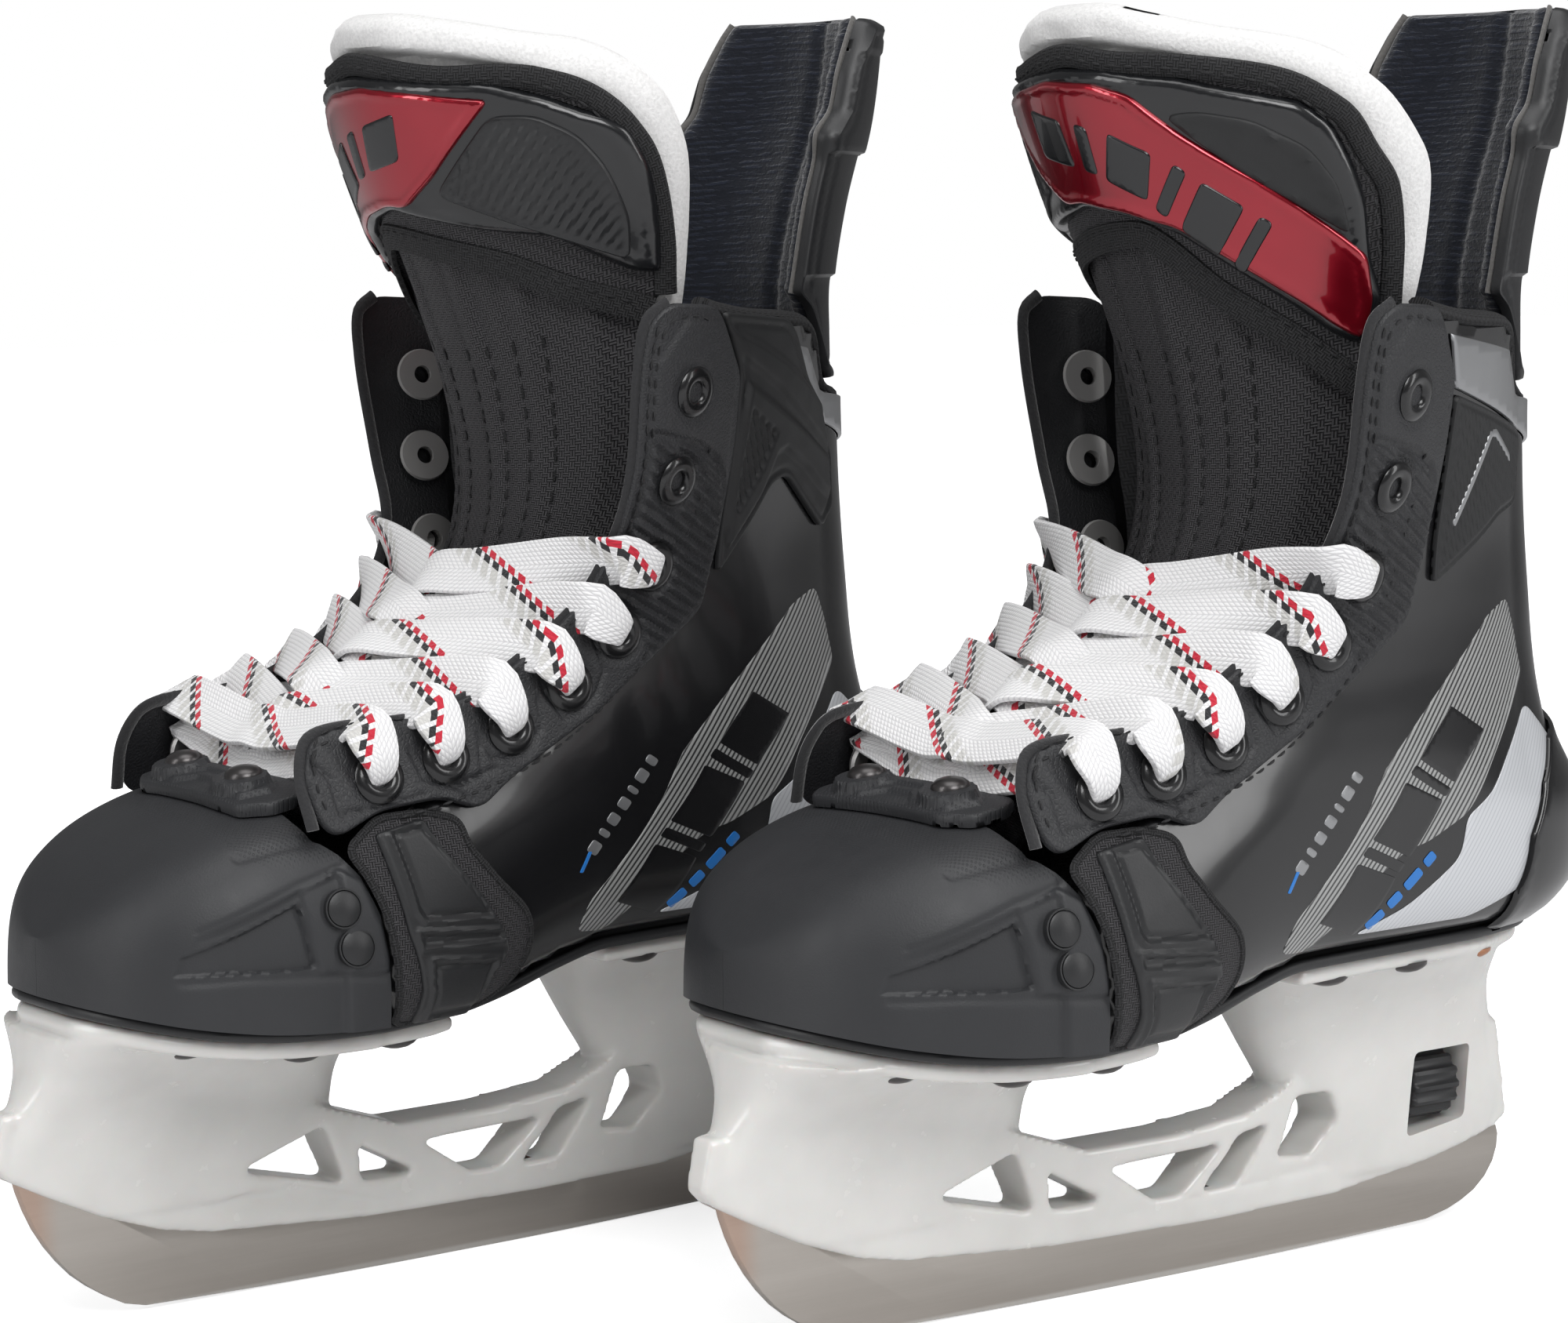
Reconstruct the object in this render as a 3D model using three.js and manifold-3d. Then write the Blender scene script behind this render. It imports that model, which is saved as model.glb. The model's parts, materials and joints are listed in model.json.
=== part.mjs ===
// A pair of junior ice hockey skates: moulded boots on bolted blade holders with quick-release steel runners.
//
// Frame (millimetres): +X points to the toes, +Y to the wearer's left, +Z up. The origin is the middle of
// the left runner's glide face, which stands on the ice at z = 0. The left skate is modelled here; its
// outer side is +Y. The right skate is the same parts in a mirrored group.
import * as THREE from "three";
import { mergeVertices } from "three/addons/utils/BufferGeometryUtils.js";
import Module from "manifold-3d";

const wasm = await Module();
wasm.setup();

// ---------------------------------------------------------------- driving dimensions
const GAP = 0.3; // clearance between neighbouring pieces
const RIGHT_SKATE = { x: 104, y: -108, turn: 3.1 }; // place of the right skate, turn in degrees about Z

// Sole curve: height of the boot's underside along the length.
const SOLE = [[-132, 71.5], [-20, 71.4], [-5, 69], [10, 65.6], [26, 63.2], [45, 62.5], [66, 63.4], [85, 66],
  [122, 74.4]];
const HEEL_SOLE_Z = 71.5;
const OUTSOLE_THICKNESS = 2;
const FLANGE_THICKNESS = 4;

// Boot form above the sole: the heel's x and the half-widths at five stations, by height over the sole.
const STATION_X = [-85, -50, -15, 25, 58];
const HEEL_END_X = -60; // the heel's rounding starts here
const HEEL_POWER = 2.4;
const BOOT_LINES = [
  { h: 0, heel: -105, width: [25, 28, 31, 38, 40] },
  { h: 4, heel: -111, width: [29, 32, 35, 42, 43.5] },
  { h: 10, heel: -116, width: [32, 35, 38, 44.5, 45.5] },
  { h: 20, heel: -118, width: [33, 36.5, 40, 45, 45] },
  { h: 30, heel: -115, width: [33, 37, 41, 43.5, 42] },
  { h: 40, heel: -109, width: [31.5, 37, 41, 40.5, 37.5] },
  { h: 50, heel: -105.8, width: [30, 36.5, 40.5, 37.5, 33] },
  { h: 60, heel: -104, width: [29, 36, 40, 34.5, 28] },
  { h: 72, heel: -103, width: [28, 36, 40.5, 32, 25] },
  { h: 86, heel: -102, width: [27, 37, 43, 32, 25] },
  { h: 100, heel: -101, width: [27, 39.5, 48.5, 36, 28] },
  { h: 118, heel: -100, width: [28, 43, 52.5, 40, 30] },
  { h: 142, heel: -101, width: [30, 46.5, 56.5, 44, 34] },
];
const BOOT_FRONT_X = 61;
const RING_HEIGHTS = [58, 68, 76, 88, 104, 122, 146, 178, 214];
const RING_SIDE_POINTS = 6;
const REACH = 80; // half-width of the blocks that trim boot pieces

// Toe cap form: arched sections that lean to the inner side, and the height of their crown.
const TOE = { rear: 40, nose: 103, half: 45.5, lean: -4, base: 55 };
const TOE_CROWN = [[40, 109], [58, 107.5], [72, 104], [84, 99], [95, 92], [103, 82]];
const TOE_WALL = 2.8;

// Layers, as distances from the shell's outer face.
const SHELL = [-2.6, 0];
const LINER = [-6.2, -2.9];
const SHELL_SETBACK = 4.4;
const LINER_SETBACK = 5.6;
const STAY = [GAP, 0.8];
const FACING = [1.1, 2.4];
const OVERLAY = [GAP, 1.5];
const BAND = [GAP, 1.1];

// Side-view outlines, x and z.
const TOE_CAP_REAR = [[45, 52], [44.8, 70], [45, 77], [46.8, 86], [50.4, 94], [54, 98.3], [58.5, 101.8]];
const THROAT = [[59.5, 103.5], [60, 114], [57, 120.5], [51, 122.6], [30, 124], [16, 129], [2, 138], [-8, 148],
  [-13, 160], [-13.5, 175], [-12.5, 196], [-13.5, 205], [-18, 208.5]];
const COLLAR = [[-36, 207.4], [-72, 204], [-80, 199], [-85, 189], [-92, 187]];
const COLLAR_REAR = [-130, 187];
const FACING_SEAM = [[44, 106], [30, 107.5], [21, 104.5], [13, 110], [-10, 122.5], [-23, 132], [-38, 142.5],
  [-42, 158], [-43, 180], [-42.5, 193], [-34, 205.5]];
const EYELETS = [[43.4, 112.4], [27.8, 115.4], [11.8, 120.3], [-2.9, 128.4], [-15.1, 139], [-22.5, 153],
  [-24.5, 171.5], [-26.5, 190]];
const LACED_EYELETS = 6;
const WRAP = [[43.8, 60], [43.6, 70], [43.9, 77], [45.7, 86.3], [49.3, 94.6], [53, 99.3], [45, 104.6],
  [30, 106], [21.5, 103], [20.5, 96], [10.5, 83], [10, 78], [14, 69], [22, 60]];
const ANKLE_PAD = [[-45, 187], [-45, 149], [-64, 156.5], [-73, 161.5], [-83.5, 164.5], [-84, 177]];
const REAR_BAND = [[-44.5, 201.5], [-72, 197.5], [-84, 187.5], [-130, 184], [-130, 172], [-86, 179.8],
  [-45, 190.5]];
const HEEL_CUP = [[-78, 72], [-84, 92], [-96, 112], [-130, 120], [-130, 72]];

// Eyelet, lace and rivets.
const EYELET = { bore: 2, barrel: 2.9, flange: 5.4, rim: 0.8, sides: 6 };
const LACE = { width: 9.5, thickness: 1.5 };
const RIVET = { shank: 2.2, head: 4.8, headHeight: 1.8, sides: 6, plate: 0.8 };

// Blade holder and runner.
const RAIL_HALF = 6.5;
const STEEL_HALF = 1.5;
const STEEL_GAP = 0.35;
const ROCKER_RADIUS = 2740;
const GLIDE_FLAT = 12; // half-length of the flat stretch in mid runner
const STEEL_ROOM = 1.2; // how far the steel's slot is grown in side view
const RUNNER_TOP_Z = 19;
const REAR_LUG = { from: -65, to: -59.5, top: 35 };
const WHEEL = { x: -81, z: 33, length: 13.5, radius: 8, root: 7.1, ribs: 14, bore: 2.5 };
const SLIDER = { rear: -71.5, gap: 0.5, low: 28, high: 37, half: 3.5 };
const ROD_RADIUS = 2.1;
const WHEEL_POCKET = [[-90, 25], [-72.5, 22.5], [-72.5, 42], [-90, 42]];
const SLIDER_ROOM = [[-74, 22.5], [-57, 22.5], [-57, 38.5], [-74, 38.5]];
const ROD_ROOM = [[-93, 30.2], [-89, 30.2], [-89, 35.8], [-93, 35.8]]; // the rod backs into it on release
const HOLDER_EDGE = [[-106.5, 23], [-102.5, 20.8], [-79, 15.6], [-53, 12], [-19, 11.3], [12, 11.8], [29, 12.3],
  [64, 15], [76, 17.4], [90, 22.4], [102, 28.2], [110, 32.5], [113, 35.5]];
const RAIL_TOP = [[111, 46], [60, 46], [36, 38], [30, 36], [18, 32], [-6, 32], [-26, 33.8], [-36, 38],
  [-50, 46], [-101, 46]];
const RAIL_PLAN = [[-107, 3.6], [-98, RAIL_HALF], [84, RAIL_HALF], [104, 4.6], [114, 2.7], [114, -2.7],
  [104, -4.6], [84, -RAIL_HALF], [-98, -RAIL_HALF], [-107, -3.6]];
const TRUSS_HOLES = [
  [[58, 27], [37, 34], [31.5, 20.5]],
  [[28.6, 28.8], [27, 20.3], [12, 19.8]],
  [[12.5, 27.2], [-19.5, 28.2], [-8.5, 18.4], [-1, 18.4]],
  [[-24, 29.3], [-33, 31], [-24, 18.4], [-14, 18]],
  [[-40, 35.5], [-49, 36], [-52, 29.5], [-45, 22], [-35.5, 23]],
];
const FRONT_TOWER = [[24, 37, 110, 6.5], [36, 33.5, 112, 7], [46, 33, 107.5, 10], [53, 30.5, 104.5, 17],
  [61, 27, 103, 31]];
const REAR_TOWER = [[16, -104, -44, 6.5], [28, -106, -40, 7.6], [38, -103, -36, 8.4], [48, -100.5, -30, 10],
  [58, -97.5, -25.5, 15.5], [67.5, -96.5, -23, 24]];
const FRONT_FLANGE = { from: 23, to: 100.5, inset: -3.2 };
const REAR_FLANGE = { from: -101, to: -21, inset: -2.6 };
const FRONT_RIVETS = [[79, 21], [57, 29.5], [34, 29.5]];
const REAR_RIVETS = [[-34, 21.5], [-58, 20.5]];
const COPPER_RIVETS = [[-81, 16.5]];

// Tendon guard: rear line and half-widths by height, and its side-view outline.
const GUARD_REAR = [[180, -97.5], [200, -96.8], [211, -96.8], [228, -100.8], [248, -107.6], [274, -112]];
const GUARD_HALF = [[180, 29], [205, 29], [228, 29.5], [250, 30.5], [272, 30.5]];
const GUARD_OUTLINE = [[-130, 189], [-92, 189], [-87, 191.5], [-83, 201.5], [-76.5, 206.6], [-77, 214], [-80.5, 230],
  [-82.3, 244.5], [-87.7, 249], [-94, 265], [-98, 270], [-130, 270]];
const GUARD_HEIGHTS = [184, 211, 228, 248, 274];
const GUARD_FRONT_X = -70;

// Tongue: centre line in side view, and half-widths along it.
const TONGUE_LINE = [[55, 105], [43, 117.5], [28, 128], [13, 137], [1, 146.5], [-6, 158.5], [-7.5, 173],
  [-4, 190], [2.5, 207.5], [9, 224], [15, 240], [20, 256], [22.5, 268]];
const TONGUE_HALF = [20, 24, 27, 29.5, 31.5, 33.5, 36.5, 39.5, 44, 50.5, 53, 51.5, 45];
const TONGUE_SAG = [7, 10, 14, 16, 18, 22, 27, 32, 37, 40, 40, 38, 31]; // drop of the edges behind the middle
const TONGUE_SPLIT = 0.52; // share of the centre line that stays on the boot
const TONGUE_GAP = 0.016;
const LACE_CROSSINGS = [0.08, 0.14, 0.2, 0.26, 0.325, 0.4]; // shares of the centre line

// ---------------------------------------------------------------- numbers and curves
const radians = (degrees) => (degrees * Math.PI) / 180;
const clamp = (value, low, high) => Math.min(Math.max(value, low), high);

function smoothstep(low, high, value) {
  const t = clamp((value - low) / (high - low), 0, 1);
  return t * t * (3 - 2 * t);
}

// Smooth interpolation through a table of [x, y] pairs with rising x.
function interpolate(table, x) {
  if (x <= table[0][0]) return table[0][1];
  const last = table.length - 1;
  if (x >= table[last][0]) return table[last][1];
  let i = 0;
  while (table[i + 1][0] < x) i += 1;
  const slope = (k) => {
    const a = table[Math.max(k - 1, 0)];
    const b = table[Math.min(k + 1, last)];
    return (b[1] - a[1]) / (b[0] - a[0]);
  };
  const [x0, y0] = table[i];
  const [x1, y1] = table[i + 1];
  const d = x1 - x0;
  const t = (x - x0) / d;
  const rise = y0 * (1 + 2 * t) * (1 - t) ** 2 + y1 * t * t * (3 - 2 * t);
  return rise + d * (slope(i) * t * (1 - t) ** 2 - slope(i + 1) * t * t * (1 - t));
}

// The sole curve runs straight from node to node, so that pieces stacked on it share their facets.
function soleZ(x) {
  let i = 0;
  while (i + 2 < SOLE.length && SOLE[i + 1][0] < x) i += 1;
  const [x0, z0] = SOLE[i];
  const [x1, z1] = SOLE[i + 1];
  return z0 + ((z1 - z0) * (x - x0)) / (x1 - x0);
}

function superellipse(centreX, radiusX, radiusY, powerX, powerY, count) {
  const ring = [];
  for (let i = 0; i < count; i += 1) {
    const a = (2 * Math.PI * i) / count;
    const c = Math.cos(a);
    const s = Math.sin(a);
    ring.push([centreX + radiusX * Math.sign(c) * Math.abs(c) ** powerX,
      radiusY * Math.sign(s) * Math.abs(s) ** powerY]);
  }
  return ring;
}

// ---------------------------------------------------------------- solids
function solid(geometry) {
  const bare = geometry.clone();
  bare.deleteAttribute("normal");
  bare.deleteAttribute("uv");
  const merged = mergeVertices(bare, 1e-4);
  return new wasm.Manifold(new wasm.Mesh({
    numProp: 3,
    vertProperties: new Float32Array(merged.getAttribute("position").array),
    triVerts: new Uint32Array(merged.index.array),
  }));
}

function geometryOf(manifold) {
  const mesh = manifold.getMesh();
  const geometry = new THREE.BufferGeometry();
  geometry.setAttribute("position", new THREE.BufferAttribute(new Float32Array(mesh.vertProperties), 3));
  geometry.setIndex(new THREE.BufferAttribute(new Uint32Array(mesh.triVerts), 1));
  geometry.computeVertexNormals();
  return geometry;
}

// The same body on the other side of the boot's middle plane.
function mirrored(manifold) {
  const geometry = geometryOf(manifold);
  geometry.scale(1, -1, 1);
  const corners = geometry.index.array;
  for (let i = 0; i < corners.length; i += 3) {
    [corners[i + 1], corners[i + 2]] = [corners[i + 2], corners[i + 1]];
  }
  return solid(geometry);
}

const union = (pieces) => pieces.slice(1).reduce((sum, piece) => sum.add(piece), pieces[0]);

// A side-view outline (x, z) swept across the width from y0 to y1.
function sidePrism(outline, y0, y1) {
  const shape = new THREE.Shape(outline.map(([x, z]) => new THREE.Vector2(x, z)));
  const geometry = new THREE.ExtrudeGeometry(shape, { depth: y1 - y0, bevelEnabled: false });
  geometry.rotateX(Math.PI / 2);
  geometry.translate(0, y1, 0);
  return solid(geometry);
}

// A plan outline (x, y) swept up from z0 to z1.
function planPrism(outline, z0, z1) {
  const shape = new THREE.Shape(outline.map(([x, y]) => new THREE.Vector2(x, y)));
  const geometry = new THREE.ExtrudeGeometry(shape, { depth: z1 - z0, bevelEnabled: false });
  geometry.translate(0, 0, z0);
  return solid(geometry);
}

// A cylinder between two points.
function pin(from, to, radius, sides) {
  const axis = new THREE.Vector3().subVectors(to, from);
  const geometry = new THREE.CylinderGeometry(radius, radius, axis.length(), sides);
  geometry.applyQuaternion(new THREE.Quaternion().setFromUnitVectors(new THREE.Vector3(0, 1, 0),
    axis.clone().normalize()));
  geometry.translate((from.x + to.x) / 2, (from.y + to.y) / 2, (from.z + to.z) / 2);
  return solid(geometry);
}

// A profile of radius and height turned about a line from a point.
function turned(profile, sides, point, axis) {
  const geometry = new THREE.LatheGeometry(profile.map(([r, h]) => new THREE.Vector2(r, h)), sides);
  geometry.applyQuaternion(new THREE.Quaternion().setFromUnitVectors(new THREE.Vector3(0, 1, 0), axis));
  geometry.translate(point.x, point.y, point.z);
  return solid(geometry);
}

// Bands of triangles between rings of equal point counts. The diagonals of a ring's second half are
// turned, so that a ring with two matching sides gives a body with two matching sides.
function ringBands(rings) {
  const count = rings[0].length;
  const index = [];
  for (let r = 0; r + 1 < rings.length; r += 1) {
    for (let i = 0; i < count; i += 1) {
      const a = r * count + i;
      const b = r * count + ((i + 1) % count);
      if (i < count / 2) index.push(a, b, b + count, a, b + count, a + count);
      else index.push(a, b, a + count, b, b + count, a + count);
    }
  }
  return index;
}

// A solid from ring points and triangles, turned the right way out.
function ringSolid(rings, index) {
  const positions = rings.flat().flatMap((p) => [p.x, p.y, p.z]);
  const geometry = new THREE.BufferGeometry();
  geometry.setAttribute("position", new THREE.BufferAttribute(new Float32Array(positions), 3));
  geometry.setIndex(index);
  const body = solid(geometry);
  if (body.volume() > 0) return body;
  for (let i = 0; i < index.length; i += 3) [index[i + 1], index[i + 2]] = [index[i + 2], index[i + 1]];
  geometry.setIndex(index);
  return solid(geometry);
}

// A closed body through rings of equal point counts, capped at both ends.
function loft(rings) {
  const count = rings[0].length;
  const index = ringBands(rings);
  const top = (rings.length - 1) * count;
  for (let i = 1; i + 1 < count; i += 1) index.push(0, i + 1, i, top, top + i, top + i + 1);
  return ringSolid(rings, index);
}

// A closed sheet between an outer and an inner face, each a function of u and v from 0 to 1.
function sheet(outer, inner, uSteps, vSteps) {
  const rings = [];
  for (let i = 0; i <= uSteps; i += 1) {
    const ring = [];
    for (let j = 0; j <= vSteps; j += 1) ring.push(outer(i / uSteps, j / vSteps));
    for (let j = vSteps; j >= 0; j -= 1) ring.push(inner(i / uSteps, j / vSteps));
    rings.push(ring);
  }
  const count = rings[0].length;
  const index = ringBands(rings);
  const top = (rings.length - 1) * count;
  for (let near = 0; near < vSteps; near += 1) {
    const far = count - 1 - near;
    index.push(near, far, near + 1, near + 1, far, far - 1);
    index.push(top + near, top + near + 1, top + far, top + near + 1, top + far - 1, top + far);
  }
  return ringSolid(rings, index);
}

// ---------------------------------------------------------------- boot form
const heightOverSole = (x, z) => z - THREE.MathUtils.lerp(soleZ(x), HEEL_SOLE_Z, smoothstep(75, 125, z));

function heelX(z) {
  return interpolate(BOOT_LINES.map((line) => [line.h, line.heel]), z - HEEL_SOLE_Z);
}

// Half-width of the shell's outer face at a side-view point.
function halfWidth(x, z) {
  const h = heightOverSole(x, z);
  const widthAt = (k) => interpolate(BOOT_LINES.map((line) => [line.h, line.width[k]]), h);
  const stations = STATION_X.map((station, k) => [station, widthAt(k)]);
  const full = interpolate(stations, x);
  if (x >= HEEL_END_X) return full;
  const heel = heelX(z);
  const share = clamp((HEEL_END_X - x) / (HEEL_END_X - heel), 0, 1);
  return full * (1 - share ** HEEL_POWER) ** (1 / HEEL_POWER);
}

// One side of a plan section at height z, from the heel to the front, moved out by an offset.
function sectionSide(z, offset, halfWidthAt, heel, front) {
  const at = (s) => {
    const x = heel + (front - heel) * s ** 2;
    return [x, s === 0 ? 0 : halfWidthAt(x, z)];
  };
  const points = [[heel - offset, 0]];
  for (let i = 1; i <= RING_SIDE_POINTS; i += 1) {
    const s = i / RING_SIDE_POINTS;
    const [x, y] = at(s);
    const before = at(s - 0.02);
    const dx = x - before[0];
    const dy = y - before[1];
    const length = Math.hypot(dx, dy);
    const last = i === RING_SIDE_POINTS;
    points.push([last ? front : x - (dy / length) * offset, y + (dx / length) * offset]);
  }
  return points;
}

function ringAt(z, offset, halfWidthAt, heel, front) {
  const outer = sectionSide(z, offset, halfWidthAt, heel, front);
  const inner = outer.slice(1).reverse().map(([x, y]) => [x, -y]);
  return [...outer, ...inner].map(([x, y]) => new THREE.Vector3(x, y, z));
}

const bootForms = new Map();
function bootForm(offset) {
  if (!bootForms.has(offset)) {
    bootForms.set(offset, loft(RING_HEIGHTS.map((z) => ringAt(z, offset, halfWidth, heelX(z), BOOT_FRONT_X))));
  }
  return bootForms.get(offset);
}

// The part of a boot layer behind a side-view outline: round both sides, or the outer side alone.
function drape([low, high], outline, bothSides = true) {
  return bootForm(high).subtract(bootForm(low)).intersect(sidePrism(outline, bothSides ? -REACH : 0.5, REACH));
}

function surfacePoint([x, z], side, offset) {
  const e = 0.5;
  const slopeX = (halfWidth(x + e, z) - halfWidth(x - e, z)) / (2 * e);
  const slopeZ = (halfWidth(x, z + e) - halfWidth(x, z - e)) / (2 * e);
  const normal = new THREE.Vector3(-slopeX, 1, -slopeZ).normalize();
  const point = new THREE.Vector3(x, halfWidth(x, z), z).addScaledVector(normal, offset);
  point.y *= side;
  normal.y *= side;
  return { point, normal };
}

// The sole curve between two places, moved up by a rise.
function soleLine(from, to, rise) {
  const nodes = SOLE.map(([x]) => x).filter((x) => x > from && x < to);
  return [from, ...nodes, to].map((x) => [x, soleZ(x) + rise]);
}

// ---------------------------------------------------------------- boot pieces
const eyeletDrill = (radius) => union(EYELETS.map((place) => pin(surfacePoint(place, 1, -10).point,
  surfacePoint(place, 1, 6).point, radius, EYELET.sides)));

// Forward and upward direction across the eyelet line, in side view.
function acrossEyelets(i) {
  const next = EYELETS[Math.min(i + 1, EYELETS.length - 1)];
  const before = EYELETS[Math.max(i - 1, 0)];
  const length = Math.hypot(next[0] - before[0], next[1] - before[1]);
  return [(next[1] - before[1]) / length, -(next[0] - before[0]) / length];
}

// The eyelet line moved back towards the sole.
const setBackEdge = (distance) => EYELETS.map(([x, z], i) => {
  const [nx, nz] = acrossEyelets(i);
  return [x - nx * distance, z - nz * distance];
});

// The shell's throat edge stops short of the eyelets, which sit in the facings alone.
function bootShell() {
  const edge = setBackEdge(SHELL_SETBACK);
  const front = TOE_CAP_REAR.slice(1, 4).map(([x, z]) => [x - 0.8, z]);
  const outline = [...soleLine(-130, 42, 0), ...front, [45, 101], ...edge, [-33, 208], ...COLLAR.slice(1),
    COLLAR_REAR];
  return drape(SHELL, outline);
}

// The liner starts above the sole's clinch plates and ends behind the eyelets.
function liner() {
  const outline = [...soleLine(-130, 42, 1.4), [42, 70], [40, 102], ...setBackEdge(LINER_SETBACK).slice(1),
    [-35, 206.5], [-72, 203], [-80, 198], [-85, 188], [-92, 186], [-130, 186]];
  return drape(LINER, outline);
}

function facing() {
  const throat = THROAT.slice(0, -1);
  const outline = [[54.5, 101.5], [58.2, 104.4], ...throat.slice(1), [-18, 208.5], [-31, 207.8],
    ...FACING_SEAM.slice().reverse()];
  return drape(FACING, outline, false).subtract(eyeletDrill(EYELET.barrel + GAP));
}

// The eyelets of one side, set in the thin stay that runs between shell and facing.
function eyeletRow() {
  const stayHalf = 1.6;
  const edge = (half) => EYELETS.map(([x, z], i) => {
    const [nx, nz] = acrossEyelets(i);
    return [x + nx * half, z + nz * half];
  });
  let row = drape(STAY, [...edge(stayHalf), ...edge(-stayHalf).reverse()], false);
  row = row.subtract(eyeletDrill((EYELET.bore + EYELET.barrel) / 2));
  const face = FACING[1] + GAP;
  const end = SHELL[0] - 0.8;
  const rim = face + EYELET.rim;
  const profile = [[EYELET.bore, end], [EYELET.barrel, end], [EYELET.barrel, face], [EYELET.flange, rim],
    [EYELET.bore, rim], [EYELET.bore, end]];
  for (const place of EYELETS) {
    const { point, normal } = surfacePoint(place, 1, 0);
    row = row.add(turned(profile, EYELET.sides, point, normal));
  }
  return row;
}

const forefootWrap = () => drape(OVERLAY, WRAP, false).intersect(soleCut(0));
const anklePad = () => drape(OVERLAY, ANKLE_PAD, false);
const rearBand = () => drape(BAND, REAR_BAND);
const heelCup = () => drape(OVERLAY, HEEL_CUP);

// Everything above the sole curve.
function soleCut(rise) {
  return sidePrism([...soleLine(-130, 110, rise), [110, 300], [-130, 300]], -REACH, REACH);
}

// Toe form: arched sections that close in a rounded nose, leaning to the inner side.
const toeShare = (x) => clamp((x - TOE.rear) / (TOE.nose - TOE.rear), 0, 1);
const toeHalf = (x) => TOE.half * (1 - toeShare(x) ** 3.2) ** 0.5;
const toeLean = (x) => TOE.lean * toeShare(x) ** 1.5;

// Height of the toe form's top over a plan point.
function toeTopZ(x, y) {
  const across = clamp(Math.abs(y - toeLean(x)) / toeHalf(x), 0, 1);
  return TOE.base + (interpolate(TOE_CROWN, x) - TOE.base) * (1 - across ** 4) ** 0.2;
}

function toeSection(x, offset) {
  const half = toeHalf(x) + offset;
  const crown = interpolate(TOE_CROWN, x) + offset;
  const base = TOE.base;
  const lean = toeLean(x);
  const ring = [];
  const steps = 10;
  for (let i = 0; i <= steps; i += 1) {
    const a = (Math.PI * i) / steps;
    const c = Math.cos(a);
    const s = Math.sin(a);
    ring.push(new THREE.Vector3(x, lean + half * Math.sign(c) * Math.abs(c) ** 0.5,
      base + (crown - base) * Math.abs(s) ** 0.4));
  }
  return ring;
}

function toeForm(offset) {
  const rings = [];
  const steps = 6;
  for (let i = 0; i <= steps; i += 1) {
    const x = TOE.rear + (TOE.nose - TOE.rear) * Math.sin((Math.PI / 2) * (i / steps)) ** 0.9;
    const section = toeSection(Math.min(x, TOE.nose - 0.35), offset);
    section.forEach((p) => {
      p.x = x + offset * smoothstep(TOE.nose - 25, TOE.nose, x);
    });
    rings.push(section);
  }
  return loft(rings);
}

function toeCap() {
  const keep = [...soleLine(45, 112, 0), [112, 125], [59.5, 125], ...TOE_CAP_REAR.slice(1).reverse()];
  return toeForm(0).subtract(toeForm(-TOE_WALL)).intersect(sidePrism(keep, -REACH, REACH));
}

// Moulded plate over the root of the toe cap, with its two dome rivets.
function toeBridge() {
  const plate = (u, v, lift) => {
    const x = 57 + 17 * u - 3 * Math.abs(2 * v - 1);
    const y = (v - 0.5) * 48 - 1;
    return new THREE.Vector3(x, y, toeTopZ(x, y) + lift);
  };
  let body = sheet((u, v) => plate(u, v, 3.2), (u, v) => plate(u, v, 0.6), 3, 8);
  for (const y of [-15, 13]) {
    const foot = new THREE.Vector3(63, y, toeTopZ(63, y) + 1.5);
    body = body.add(pin(foot, foot.clone().setZ(112), 3.4, 8));
  }
  return body;
}

// Plan outline of the sole, moved in or out.
function solePlan(offset, from, to) {
  const outer = [];
  const steps = 9;
  for (let i = 0; i <= steps; i += 1) {
    outer.push(from + (to - from) * (0.5 - 0.5 * Math.cos((Math.PI * i) / steps)));
  }
  const at = (x, side) => {
    if (x < TOE.rear) return side * (halfWidth(x, soleZ(x) + 0.2) + offset);
    return toeLean(x) + side * (toeHalf(x) * 0.89 + offset);
  };
  return [...outer.map((x) => [x, at(x, 1)]), ...outer.slice().reverse().map((x) => [x, at(x, -1)])];
}

function solePlate(low, high, plan) {
  const band = [...soleLine(-125, 108, low), ...soleLine(-125, 108, high).reverse()];
  return sidePrism(band, -REACH, REACH).intersect(planPrism(plan, 40, 100));
}

function outsole(rivetHoles) {
  return solePlate(-OUTSOLE_THICKNESS, -GAP, solePlan(-0.5, -104, 101)).subtract(rivetHoles);
}

function footbed() {
  return solePlate(1.6, 4.6, solePlan(-8.5, -96, 92));
}

// ---------------------------------------------------------------- tendon guard
function guardHalf(x, z) {
  const rear = interpolate(GUARD_REAR, z);
  const share = clamp((HEEL_END_X - 12 - x) / (HEEL_END_X - 12 - rear), 0, 1);
  return interpolate(GUARD_HALF, z) * (1 - share ** 2.3) ** (1 / 2.3);
}

function guardForm(offset) {
  const ring = (z) => ringAt(z, offset, guardHalf, interpolate(GUARD_REAR, z), GUARD_FRONT_X);
  return loft(GUARD_HEIGHTS.map(ring));
}

function guardLayer(low, high, inset) {
  const outline = GUARD_OUTLINE.map(([x, z]) => [x - (x > -100 ? inset : 0), z + (z < 200 ? inset : 0)]);
  return guardForm(high).subtract(guardForm(low)).intersect(sidePrism(outline, -REACH, REACH));
}

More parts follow.
